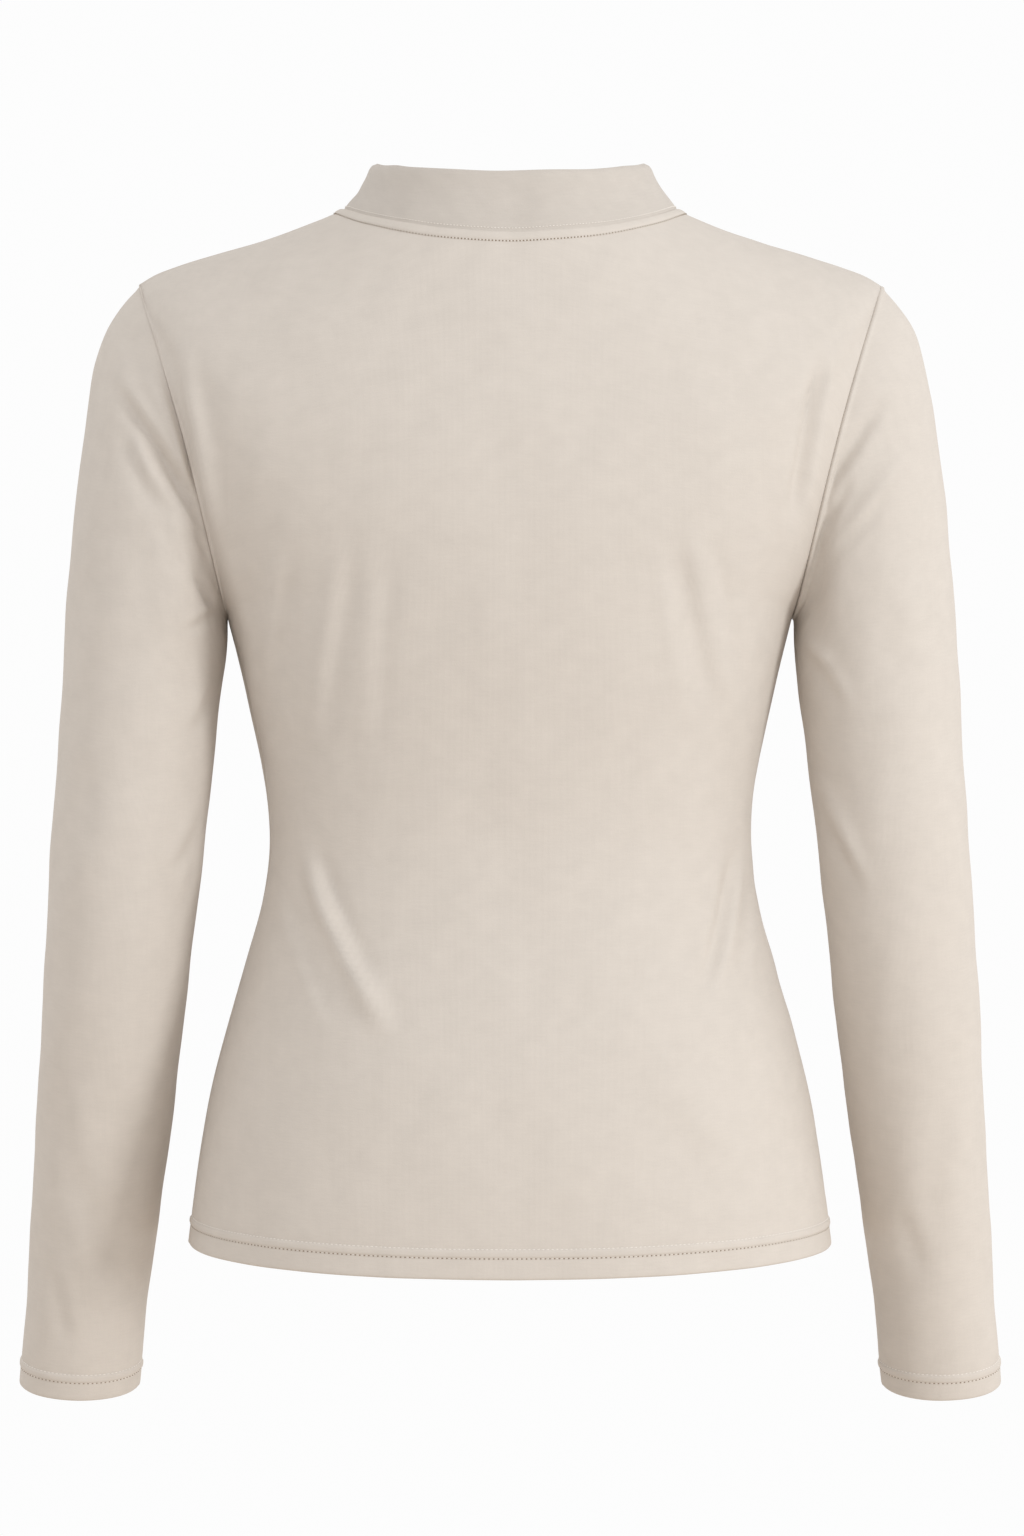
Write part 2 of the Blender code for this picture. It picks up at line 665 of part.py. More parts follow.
def main():
    """Clear the scene, then cut and assemble the five pieces."""
    for leftover in list(bpy.data.objects):
        bpy.data.objects.remove(leftover)
    back = Panel("back", BACK_CREASES)
    front = Panel("front", FRONT_CREASES)
    right_sleeve, cuff_distance = sleeve_surface()
    shared = {side: side_seams(back, front, side) for side in (-1, 1)}
    sleeve_points = {
        1: right_sleeve,
        -1: right_sleeve * np.array([-1.0, 1.0, 1.0]),
    }
    armholes = {}
    joined = {}
    sleeve_rings = {}
    for side in (-1, 1):
        ring_points, body_normals = armhole_ring(back, front, side, shared[side])
        arm_normals = normals_of(sleeve_points[side], True)[0] * side
        ring = seam(ring_points, body_normals, arm_normals, ring_tangents(ring_points))
        sleeve_rings[side] = ring
        count = ARMHOLE_ROWS
        from_underarm = np.arange(count, -1, -1)
        over_front = np.append(np.arange(count, 2 * count), 0)
        armholes[side] = {
            "back": part_ring(ring, from_underarm),
            "front": part_ring(ring, over_front),
        }
        back_col, _ = back.edge(side)
        edge_points = back.points[:, back_col]
        tangents = np.gradient(edge_points, axis=0)
        low, high = back.rows["underarm_row"], back.rows["tip_row"]
        tangents[low] = edge_points[low] - edge_points[low - 1]
        tangents[high] = edge_points[high + 1] - edge_points[high]
        joined[side] = seam(edge_points, shared[side], shared[side], tangents)
        joined[side]["slant"][low] = ring["slant"][count]
        joined[side]["slant"][high] = ring["slant"][0]
    neck_points, neck_normals = neck_ring(back, front, shared)
    collar = collar_surface(neck_points)
    neck = seam(neck_points, neck_normals, normals_of(collar, True)[0], ring_tangents(neck_points))
    for side, index in ((-1, 0), (1, PANEL_COLUMNS)):
        joined[side]["slant"][-1] = neck["slant"][index]
    back_neck = part_ring(neck, np.arange(PANEL_COLUMNS + 1))
    front_neck = part_ring(neck, np.append(np.arange(PANEL_COLUMNS, 2 * PANEL_COLUMNS), 0))
    build_panel(back, armholes, joined, back_neck, cloth_material("jersey_back"))
    build_panel(front, armholes, joined, front_neck, cloth_material("jersey_front"))
    for side, word in ((-1, "left"), (1, "right")):
        points, ring = sleeve_points[side], sleeve_rings[side]
        if side < 0:
            turned = np.roll(np.arange(points.shape[1])[::-1], 1)
            points = points[:, turned]
            ring = part_ring(ring, turned)
        build_sleeve(
            "sleeve_" + word, points, cuff_distance, ring, SLEEVE_CREASES[word],
            cloth_material("jersey_sleeve_" + word),
        )
    build_collar(collar, neck, cloth_material("jersey_collar"))


main()
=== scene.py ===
"""Looks of a women's fitted, long-sleeved top with a mock neck, hollow as it is worn.

The five cut pieces are thin shells of jersey, worked out with numpy on the form of their
solids: back, front, two sleeves and a folded collar. Their seams roll in, their hems
have raised twin-needle rows, and soft creases lie where the cloth is pulled. Small
spindles of thread lie along the needle rows, with dark spindles between them that
paint the shadows in the needle holes.

Tables and named sizes are in millimetres, and meshes are in metres. +Z is up, +Y is the
wearer's front and +X the wearer's right-hand side. A surface is an array of rows and
columns of points, and its outward normal is its across direction x its along direction.
"""
from collections import namedtuple
from functools import lru_cache

import bpy
import numpy as np
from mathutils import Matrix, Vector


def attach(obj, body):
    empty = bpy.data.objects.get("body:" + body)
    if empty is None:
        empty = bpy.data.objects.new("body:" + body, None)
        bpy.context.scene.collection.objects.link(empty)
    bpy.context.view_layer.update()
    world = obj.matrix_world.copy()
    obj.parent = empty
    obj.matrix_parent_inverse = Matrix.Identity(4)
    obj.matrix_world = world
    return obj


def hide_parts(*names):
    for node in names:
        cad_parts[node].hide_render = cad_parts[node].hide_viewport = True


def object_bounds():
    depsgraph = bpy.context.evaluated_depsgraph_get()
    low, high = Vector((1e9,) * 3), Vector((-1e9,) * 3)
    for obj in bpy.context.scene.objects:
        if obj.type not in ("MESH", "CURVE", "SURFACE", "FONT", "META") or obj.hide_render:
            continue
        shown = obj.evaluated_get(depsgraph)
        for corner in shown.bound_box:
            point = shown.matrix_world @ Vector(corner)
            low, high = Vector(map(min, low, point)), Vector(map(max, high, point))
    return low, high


bl_info = {
    "name": "Mock-neck top",
    "version": (1, 0, 0),
    "blender": (4, 5, 0),
    "location": "3D View > Sidebar > Top",
    "description": "Builds a long-sleeved jersey top, its seams, creases and stitches",
    "category": "Add Mesh",
}

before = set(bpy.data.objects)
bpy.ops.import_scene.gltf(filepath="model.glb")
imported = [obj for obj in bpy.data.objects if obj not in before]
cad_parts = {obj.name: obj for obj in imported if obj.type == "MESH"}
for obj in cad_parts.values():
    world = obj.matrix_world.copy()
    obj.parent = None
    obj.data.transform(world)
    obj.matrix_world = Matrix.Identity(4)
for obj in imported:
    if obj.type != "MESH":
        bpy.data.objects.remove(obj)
CAD_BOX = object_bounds()

MM = 0.001
BODY = "root"

# Rows and columns of the grids
SIDE_ROWS = 100
ARMHOLE_ROWS = 76
SHOULDER_ROWS = 30
PANEL_COLUMNS = 180
CAP_ROWS = 110
ARM_ROWS = 110
COLLAR_ROWS = 26
EDGE_CROWDING = 0.7        # how much closer the columns lie at a panel's seams
UNDERARM_CROWDING = 0.5    # how much closer the rows lie at the underarm
NEEDLE_GRID_ROWS = 15      # rows of the grid across a needle roll
FOLD_GRID_ROWS = (3.0, 5.5, 8.0)  # rows between a folded edge and its needle roll

# Landmarks of the right half of the body, seen from behind (x, z)
NECK_POINT = (90.0, 1.2)
SHOULDER_TIP = (200.0, -39.5)
UNDERARM = (152.2, -217.0)
HEM_SIDE = -556.0
HEM_CENTRE_DROP = 6.2
ARMHOLE_DEPTH = {"back": -52.0, "front": 46.0}
ARMHOLE_HOLLOW = 4.4       # how far the armhole curves in from a straight line
HOLLOW_POWER = 0.85
ARMHOLE_NARROWING = 0.3    # makes the oval narrower towards the shoulder tip
SECTION_FLATNESS = 1.15    # 1 is a true ellipse, more is flatter across the middle
ROW_DROP_POWER = 1.5       # shape of a row's fall from its ends to its middle
TIP_ROUNDING = 1.6
BLADE_POWER = 0.35
BLADE_ROUNDING = 0.8
CAP_END = -300.0
CAP_SPACING = 1.35
ARMHOLE_REACH = 150.0      # length over which the sleeve sheds the armhole's shape

SideRow = namedtuple("SideRow", "height half_width")
SIDE = [
    SideRow(-556, 173.2),
    SideRow(-501, 165.8),
    SideRow(-468, 159.6),
    SideRow(-436, 151.2),
    SideRow(-403, 141.5),
    SideRow(-371, 132.8),
    SideRow(-338, 129.1),
    SideRow(-317, 130.4),
    SideRow(-295, 134.2),
    SideRow(-263, 141.2),
    SideRow(-231, 148.6),
    SideRow(-217, 152.2),
]

# How far the middle of each panel stands behind or before the seams, from hem to neck
MiddleRow = namedtuple("MiddleRow", "height depth")
MIDDLE = {
    "back": [
        MiddleRow(-562, 113),
        MiddleRow(-500, 110),
        MiddleRow(-436, 98),
        MiddleRow(-400, 87.5),
        MiddleRow(-370, 80.5),
        MiddleRow(-338, 78),
        MiddleRow(-305, 82),
        MiddleRow(-263, 91.5),
        MiddleRow(-220, 100),
        MiddleRow(-170, 104.5),
        MiddleRow(-120, 102.5),
        MiddleRow(-80, 94.5),
        MiddleRow(-50, 85.5),
        MiddleRow(-19.6, 75),
    ],
    "front": [
        MiddleRow(-562, 98),
        MiddleRow(-500, 100),
        MiddleRow(-436, 98),
        MiddleRow(-371, 92),
        MiddleRow(-338, 92),
        MiddleRow(-305, 99),
        MiddleRow(-270, 111),
        MiddleRow(-235, 118.5),
        MiddleRow(-200, 118.5),
        MiddleRow(-160, 112),
        MiddleRow(-118, 102.5),
        MiddleRow(-90, 94.5),
        MiddleRow(-62, 85),
    ],
}
MIDDLE_AT_UNDERARM = -208.0
MIDDLE_AT_TIP = {"back": -128.0, "front": -155.0}

ShoulderPoint = namedtuple("ShoulderPoint", "x height")
SHOULDER = [
    ShoulderPoint(90, 1.2),
    ShoulderPoint(97, -2.4),
    ShoulderPoint(110, -7.6),
    ShoulderPoint(130, -15),
    ShoulderPoint(157, -23),
    ShoulderPoint(180, -30),
    ShoulderPoint(192, -34.6),
    ShoulderPoint(200, -39.5),
]

SleeveRow = namedtuple(
    "SleeveRow", "outer_z outer_x inner_z inner_x half_depth middle_y back_drop"
)
SLEEVE = [
    SleeveRow(-39.5, 200.0, -217, 152.2, 49, -3, 0),
    SleeveRow(-47, 207.0, -219.5, 153.0, 49.5, -3, 0),
    SleeveRow(-58, 214.7, -222, 153.2, 50, -3, 0),
    SleeveRow(-79, 222.8, -226, 153.2, 50, -3, 0),
    SleeveRow(-101, 227.0, -230.5, 153.2, 50, -4, 0),
    SleeveRow(-144, 232.8, -240, 153.8, 49.5, -4, 0),
    SleeveRow(-198, 237.6, -253, 155.3, 48, -5, 0),
    SleeveRow(-249, 241.0, -271, 157.2, 46.5, -6, 0),
    SleeveRow(-300, 244.0, -304, 161.0, 45, -7, 0),
    SleeveRow(-349, 247.2, -349, 166.2, 43, -8, 0),
    SleeveRow(-425, 252.4, -425, 175.0, 40, -2, 1),
    SleeveRow(-479, 255.8, -480, 182.4, 37, 7, 2),
    SleeveRow(-533, 260.0, -535, 190.6, 34, 17, 3.5),
    SleeveRow(-587, 264.4, -589, 198.4, 31.5, 27, 5),
    SleeveRow(-636, 269.0, -638, 203.8, 30, 35.5, 5.6),
]

# The collar, at the side, the middle of the back and the middle of the front
CollarSize = namedtuple("CollarSize", "lean height")
COLLAR = {
    "side": CollarSize(18.0, 25.8),
    "back": CollarSize(9.0, 32.3),
    "front": CollarSize(13.0, 31.0),
}
ProfilePoint = namedtuple("ProfilePoint", "lean height")
COLLAR_PROFILE = [
    ProfilePoint(0.00, 0.00),
    ProfilePoint(0.23, 0.21),
    ProfilePoint(0.46, 0.43),
    ProfilePoint(0.64, 0.65),
    ProfilePoint(0.76, 0.85),
    ProfilePoint(0.84, 0.95),
    ProfilePoint(0.93, 1.00),
]

# Needle rows: their distances from the hem's, cuff's or neckline's edge
NeedleRows = namedtuple("NeedleRows", "near far")
HEM_NEEDLES = NeedleRows(10.6, 15.1)
CUFF_NEEDLES = NeedleRows(9.9, 14.4)
NECK_NEEDLES = NeedleRows(0.0, 5.4)
ROLL_HEIGHT = 0.75         # how proud the cloth stands between two needle rows
NEEDLE_DIP = 0.15          # how far the thread pulls the cloth in
NEEDLE_REACH = 0.9         # half width of the dip along a needle row
NECK_SPREAD = 0.9          # a distance on the neckline's edge, seen from behind
Walls = namedtuple("Walls", "plain hem collar")  # thicknesses of the cloth
FOLD_TURNS = (150, 120, 90, 60, 30)  # degrees around a folded edge, from inside to outside
SHARP_ANGLE = 60           # degrees between two faces from which their edge is sharp

# Slack of the cloth: soft waves, with the way each runs
Wave = namedtuple("Wave", "length height x y z shift")
WAVES = [
    Wave(61, 0.28, 0.8, 0.5, 0.35, 0.9),
    Wave(47, 0.22, -0.5, 0.6, 0.8, 1.3),
    Wave(33, 0.12, 0.9, -0.4, -0.3, 1.1),
    Wave(23, 0.06, 0.4, 0.7, -0.7, 0.8),
]
COLLAR_SLACK = 0.6         # the doubled collar is stiffer, so its waves are lower
CORNER_DEPTH = 1.3         # how far the collar's rim is pulled in at the sides
CORNER_REACH = 3.0         # distance down from the rim over which that fades
CORNER_START = 0.8         # share of the rim's half width beyond which it is pulled in
RELAX_WEIGHT = 0.5         # how far a pass moves a row to the mean of its neighbours
RELAX_PASSES = 70
RELAX_EDGE = 6             # rows from the needle rows over which the evening out fades
RELAX_SIDE = 40            # columns from the sewn sides over which it fades

# Seams: the cloth rolls in, and the allowance lifts it on the side it is pressed to,
# which is towards +X at both armholes
SEAM_DIP = 0.22            # how far the thread pulls the seam in
SEAM_REACH = 0.4           # half width of that groove
ALLOWANCE_LIFT = 0.85      # how far the allowance lifts the cloth
ALLOWANCE_PLACE = 1.5      # distance of the lifted cloth's crest from the seam
ALLOWANCE_REACH = 1.1      # half width of that crest
INSEAM_ALLOWANCE = 0.4     # how much of that lift the sleeve's own seam has

# Creases, seen from behind (x, z): a line from start to end, bowed towards its left. The
# trough is how far the cloth sinks along the line, and a ridge where it is below 0. The
# step is how far the cloth rises on the line's left and falls on its right. Left is that
# of someone who goes from start to end.
Fold = namedtuple("Fold", "start_x start_z end_x end_z bow width trough step")
BACK_FOLDS = [
    Fold(-106, -346, -64, -433, -2.4, 6.0, -5.4, -1.4),
    Fold(-101, -346, -74, -410, -1.0, 4.5, 2.6, 0.0),
    Fold(-121, -366, -94, -432, -1.0, 4.5, 0.0, -0.8),
    Fold(-117, -186, -127, -262, 0.0, 6.0, 0.0, -1.1),
    Fold(-85, -186, -100, -280, 0.0, 6.5, 0.0, -1.1),
    Fold(-67, -190, -72, -288, 0.0, 6.5, 0.0, -0.8),
    Fold(-148, -186, -139, -234, 0.0, 5.0, -1.5, 0.0),
    Fold(90, -182, 108, -264, 0.0, 5.5, 0.0, 1.3),
    Fold(104, -186, 121, -266, 0.0, 5.0, 0.0, -0.8),
    Fold(79, -188, 95, -272, 0.0, 6.0, 0.0, -0.8),
    Fold(121, -346, 105, -414, 1.0, 4.5, 1.6, 2.2),
    Fold(130, -360, 124, -410, 0.5, 4.5, 0.4, 0.8),
    Fold(164, -88, 150, -168, 0.8, 5.0, 3.0, 2.4),
    Fold(-170, -84, -150, -182, 1.0, 5.0, -4.2, -1.0),
    Fold(-146, -232, -128, -300, -2.0, 6.0, 0.4, 0.9),
    Fold(60, -452, 120, -520, 0.0, 14.0, 0.3, 0.5),
    Fold(-30, -470, -60, -530, 0.0, 16.0, 0.3, 0.4),
]
FRONT_FOLDS = [
    Fold(-124, -332, -72, -424, -3.0, 6.0, 1.6, 2.0),
    Fold(-98, -346, -66, -398, -1.0, 6.0, 0.5, 1.2),
    Fold(124, -330, 78, -416, 3.0, 6.0, 1.5, -1.9),
    Fold(118, -352, 96, -404, 1.0, 5.0, 0.5, -1.0),
    Fold(-150, -152, -106, -186, 2.0, 7.0, 1.6, 1.2),
    Fold(149, -156, 108, -190, -2.0, 7.0, 1.6, -1.2),
    Fold(-140, -196, -112, -214, 1.0, 6.0, 0.8, 0.8),
    Fold(138, -202, 110, -216, -1.0, 6.0, 0.8, -0.8),
    Fold(-70, -262, -58, -330, 0.0, 10.0, 0.8, 0.6),
    Fold(66, -266, 60, -338, 0.0, 10.0, 0.7, -0.6),
    Fold(-18, -292, -14, -350, 0.0, 12.0, 0.5, 0.3),
]
SLEEVE_FOLDS = {
    "left": {
        "back": [
            Fold(-207, -97, -168, -157, 1.0, 5.0, 0.9, 2.6),
            Fold(-194, -88, -164, -150, 0.5, 6.0, -3.4, 0.0),
            Fold(-182, -162, -173, -236, 0.0, 11.0, -3.0, 0.0),
            Fold(-196, -126, -160, -182, 1.0, 6.0, 0.0, -1.3),
            Fold(-204, -60, -184, -112, 0.0, 7.0, 1.0, 0.4),
            Fold(-202, -120, -184, -162, -2.0, 6.0, 0.3, 1.3),
            Fold(-182, -168, -172, -196, 0.0, 5.5, 0.3, 1.2),
            Fold(-167, -172, -157, -188, 0.0, 3.5, 0.6, 0.9),
            Fold(-166, -196, -157, -214, 0.0, 3.5, 0.7, 0.9),
            Fold(-173, -226, -157, -215, 0.0, 3.5, 0.7, 0.8),
            Fold(-170, -281, -159, -256, 0.0, 4.5, 0.6, 0.9),
            Fold(-163, -317, -179, -352, 1.5, 5.0, 0.6, -1.2),
            Fold(-168, -344, -173, -370, 0.0, 4.0, 0.4, -0.8),
            Fold(-225, -292, -221, -340, 0.0, 9.0, 0.9, 0.4),
            Fold(-245, -566, -238, -608, 0.0, 6.0, 0.9, 0.8),
            Fold(-232, -522, -214, -590, 0.0, 9.0, 0.3, -0.9),
            Fold(-238, -470, -226, -540, 0.0, 10.0, 0.3, 0.7),
        ],
        "front": [
            Fold(-206, -110, -168, -160, 3.0, 6.0, 1.4, 1.6),
            Fold(-200, -146, -166, -186, 2.0, 6.0, 0.8, 1.1),
            Fold(-166, -318, -192, -352, 2.0, 6.0, 1.0, -1.1),
            Fold(-170, -350, -196, -374, 1.0, 5.0, 0.7, -0.8),
            Fold(-236, -520, -220, -584, 0.0, 8.0, 0.5, 0.8),
        ],
    },
    "right": {
        "back": [
            Fold(198, -108, 165, -157, -1.0, 4.8, 2.7, 1.0),
            Fold(180, -149, 166, -175, 0.0, 3.8, 1.3, 0.5),
            Fold(206, -139, 162, -192, 1.5, 5.0, -2.0, 0.0),
            Fold(203, -150, 171, -188, 2.0, 5.0, 1.4, 0.6),
            Fold(163, -150, 160, -236, 0.0, 7.0, 3.2, 0.0),
            Fold(156, -231, 169, -244, 0.0, 4.0, -0.9, 0.0),
            Fold(157, -233, 177, -266, 1.5, 4.5, -0.9, 0.7),
            Fold(161, -304, 181, -350, 1.5, 4.5, -1.0, 0.8),
            Fold(162, -316, 187, -362, 1.0, 4.5, -0.5, 0.9),
            Fold(196, -196, 214, -262, 0.0, 12.0, 0.5, 0.5),
            Fold(212, -536, 223, -570, 0.0, 7.0, 0.9, 0.5),
            Fold(214, -498, 218, -560, 0.0, 8.0, -0.6, 0.0),
            Fold(236, -470, 230, -548, 0.0, 10.0, 0.4, 0.6),
        ],
        "front": [
            Fold(206, -114, 168, -162, -3.0, 6.0, 1.4, -1.5),
            Fold(202, -150, 168, -188, -2.0, 6.0, 0.8, -1.0),
            Fold(166, -322, 192, -360, -2.0, 6.0, 1.0, 1.1),
            Fold(172, -352, 198, -380, -1.0, 5.0, 0.7, 0.8),
            Fold(238, -516, 224, -580, 0.0, 8.0, 0.5, -0.8),
        ],
    },
}
COLLAR_FOLDS = [
    Fold(-84, 14, -76, 2, 0.0, 4.0, 0.4, 0.2),
    Fold(74, 12, 66, 2, 0.0, 5.0, 0.4, 0.2),
]
STEP_SCALE = 0.43          # the greatest value of t times e to the power of minus t squared
FOLD_OVERRUN = 0.15        # share of its length a crease runs on past each end
FOLD_TAPER = 0.45          # share of its length over which it fades out
FOLD_FADE = 4.5            # distance from a seam over which creases fade in
FACING_SHARPNESS = 2.5     # how fast a crease of one side fades at the sleeve's edges

# Unevenness of the knit: its size across and along the cloth and its detail, how much
# each kind of it changes the shade, and how much the height
NOISES = {
    "streak": (1.6, 45, 2.0),
    "grain": (0.9, 0.9, 3.0),
    "cloud": (60, 60, 2.0),
    "mottle": (12, 10, 1.0),
    "cross_grain": (7, 1.1, 1.0),
}
SHADES = {"streak": 0.03, "grain": 0.05, "cloud": 0.04, "mottle": 0.08, "cross_grain": 0.06}
RELIEFS = {"wale": 0.35, "grain": 1.0, "streak": 0.4, "cross_grain": 0.6}

# Spindles of thread, and dark spindles of painted shadow in the needle holes, as shares of
# their half length or their thickness
SPINDLE_RINGS = (-0.98, -0.75, -0.3, 0.3, 0.75, 0.98)
SPINDLE_SIDES = 6
SPINDLE_DIVE = 0.75        # how far its ends dive below its middle
THREAD_RISE = 0.35         # how high the middle of a thread lies over the cloth
HOLE_RISE = 0.15
HOLE_WIDTH = 0.8           # a needle hole's width, as a share of its length
HOLE_SHADOW_PAINT = (0.22, 0.16, 0.11, 1.0)  # painted shadow inside a needle hole
TWIST_DENSITY = 2500.0     # marks of the thread's twist to a metre
TWIST_SHADE = 0.2
TWIST_RELIEF = 0.03        # height of the twist's marks

# The stage, in metres
FLOOR_RADIUS = 1.6
FLOOR_SIDES = 96
FLOOR_PAINT = (0.72, 0.63, 0.54, 1.0)
Lamp = namedtuple("Lamp", "place size colour")
KEY_LIGHT = Lamp((2.8, -2.0, -0.15), 0.7, (0.95, 0.98, 1.0))
OVERHEAD_LIGHT = Lamp((0.0, -0.9, 1.6), 1.0, (1.0, 1.0, 1.0))
LIGHT_AIM = (0.0, 0.0, -0.3)
CAMERA_PLACE = (0.0008, -2.2, -0.2997)
CAMERA_LENS = 95.5         # millimetres, with the next
CAMERA_SENSOR = 36.0


def length_setting(name, description, default):
    """A setting in metres."""
    return bpy.props.FloatProperty(
        name=name, description=description, default=default, min=0.0, unit="LENGTH"
    )


def share_setting(name, description, default, lowest=0.0):
    """A setting from the lowest value to 1."""
    return bpy.props.FloatProperty(
        name=name, description=description, default=default, min=lowest, max=1.0,
        subtype="FACTOR",
    )


def colour_setting(name, description, default):
    """A colour, as shares of red, green and blue."""
    return bpy.props.FloatVectorProperty(
        name=name, description=description, default=default, subtype="COLOR", size=3,
        min=0.0, max=1.0,
    )


def power_setting(name, description, default):
    """A lamp's power in watts."""
    return bpy.props.FloatProperty(
        name=name, description=description, default=default, min=0.0, unit="POWER"
    )


class JerseySettings(bpy.types.PropertyGroup):
    """The cloth: its thickness, colour and knit."""

    wall: length_setting("Wall", "Thickness of the jersey", 1.5 * MM)
    hem_wall: length_setting("Hem wall", "Thickness of a turned-up hem", 2.4 * MM)
    collar_wall: length_setting("Collar wall", "Thickness of the folded collar", 2.6 * MM)
    colour: colour_setting("Colour", "Cream of the jersey", (0.585, 0.53, 0.475))
    roughness: share_setting("Roughness", "How matte the brushed face is", 0.88)
    # Painted shade: scales the collar's colour darker, standing in for shade that falls on it
    collar_painted_shade: share_setting(
        "Doubled shade", "Brightness of the doubled collar's cloth", 0.9, 0.5
    )
    sheen: share_setting("Sheen", "Pale shine of the nap at the edges", 0.05)
    wale: length_setting("Wale", "Width of one column of knit loops", 0.62 * MM)
    bump: length_setting("Knit relief", "Height of the knit's grain", 0.05 * MM)


class StitchSettings(bpy.types.PropertyGroup):
    """The thread of the needle rows."""

    pitch: length_setting("Pitch", "Distance between two stitches of the hems", 2.4 * MM)
    neck_pitch: length_setting(
        "Neck pitch", "Distance between two stitches of the neckline", 1.8 * MM
    )
    cover: share_setting("Cover", "Share of the pitch that a stitch covers", 0.76, 0.1)
    hole: length_setting("Needle hole", "Diameter of the shadowed needle holes", 1.0 * MM)
    thickness: length_setting("Thickness", "Diameter of the thread", 0.5 * MM)
    colour: colour_setting("Colour", "Colour of the thread", (0.74, 0.69, 0.63))


class StageSettings(bpy.types.PropertyGroup):
    """The floor, the lights and the camera."""

    floor_gap: length_setting("Floor gap", "Height of the cuffs above the floor", 0.5)
    sky: bpy.props.FloatProperty(
        name="Sky", description="Brightness of the pale surroundings", default=0.98,
        min=0.0, max=5.0,
    )
    key: power_setting("Key light", "Power of the large light at the right", 47.0)
    overhead: power_setting("Overhead light", "Power of the light above", 3.0)


def smooth(stations, values, at):
    """Cubic through a table's values; its slope at a station is that of its neighbours."""
    order = np.argsort(stations)
    stations = np.asarray(stations, float)[order]
    values = np.asarray(values, float)[order]
    slopes = np.gradient(values, stations)
    at = np.clip(at, stations[0], stations[-1])
    left = np.clip(np.searchsorted(stations, at, side="right") - 1, 0, len(stations) - 2)
    span = stations[left + 1] - stations[left]
    t = (at - stations[left]) / span
    start = (1 + 2 * t) * (1 - t) ** 2 * values[left]
    end = t * t * (3 - 2 * t) * values[left + 1]
    leaving = t * (1 - t) ** 2 * span * slopes[left]
    arriving = t * t * (t - 1) * span * slopes[left + 1]
    return start + end + leaving + arriving


def column(table, name):
    """One named column of a table."""
    return [getattr(row, name) for row in table]


def unit(vectors):
    """Vectors scaled to length 1."""
    return vectors / np.linalg.norm(vectors, axis=-1, keepdims=True)


def ease(t):
    """Smooth step from 0 to 1: 3 t squared - 2 t cubed."""
    t = np.clip(t, 0.0, 1.0)
    return t * t * (3 - 2 * t)


def bell(distance, reach):
    """Bell curve: e to the power of minus (distance / reach) squared."""
    return np.exp(-(distance / reach) ** 2)


def normals_of(points, wraps):
    """Outward normals of a grid: its across direction crossed with its along direction."""
    if wraps:
        across = np.roll(points, -1, axis=1) - np.roll(points, 1, axis=1)
    else:
        across = np.gradient(points, axis=1)
    return unit(np.cross(across, np.gradient(points, axis=0)))


def lengths(points, axis):
    """Running length of a grid's lines along an axis, from 0 at their start."""
    steps = np.linalg.norm(np.diff(points, axis=axis), axis=-1)
    total = np.cumsum(steps, axis=axis)
    pad = np.zeros_like(np.take(total, [0], axis=axis))
    return np.concatenate([pad, total], axis=axis)


def needle_marks(needles):
    """Distances from an edge at which rows lie close enough to shape a needle roll."""
    low, high = needles
    fine = np.linspace(low - NEEDLE_REACH, high + NEEDLE_REACH, NEEDLE_GRID_ROWS)
    return fine[fine > 0]


def folded_marks(needles, walls):
    """Distances of the rows from a folded edge's own half thickness to past its needles."""
    return np.concatenate([[walls.hem / 2, *FOLD_GRID_ROWS], needle_marks(needles)])


def needle_relief(distance, needles):
    """A roll of cloth between two needle rows, and a groove along each of them.

    With s from -1 to 1 between the rows, the roll is 1 - s to the power of 4. The grooves
    are bell curves of the distance to their row.
    """
    low, high = needles
    s = np.clip((2 * distance - low - high) / (high - low), -1, 1)
    dips = bell(distance - low, NEEDLE_REACH) + bell(distance - high, NEEDLE_REACH)
    return ROLL_HEIGHT * (1 - s ** 4) - NEEDLE_DIP * dips


def armhole_turns():
    """Angles from the shoulder tip (0) to the underarm (pi), closer at the underarm."""
    even = np.linspace(0.0, 1.0, ARMHOLE_ROWS + 1)
    return np.pi * even + UNDERARM_CROWDING * np.sin(np.pi * even)


def armhole(angle, face):
    """The armhole seam: half an oval from the shoulder tip (angle 0) to the underarm (pi).

    It falls by (1 - cosine) / 2 of its height, and stands out by the sine of the angle.
    """
    down = (1 - np.cos(angle)) / 2
    hollow = ARMHOLE_HOLLOW * np.sin(np.pi * down ** HOLLOW_POWER)
    x = SHOULDER_TIP[0] + (UNDERARM[0] - SHOULDER_TIP[0]) * down - hollow
    narrowing = 1 + ARMHOLE_NARROWING * (1 - down)
    y = ARMHOLE_DEPTH[face] * np.clip(np.sin(angle), 0, 1) ** narrowing
    z = SHOULDER_TIP[1] + (UNDERARM[1] - SHOULDER_TIP[1]) * down
    return np.stack([x, y, z], axis=-1)


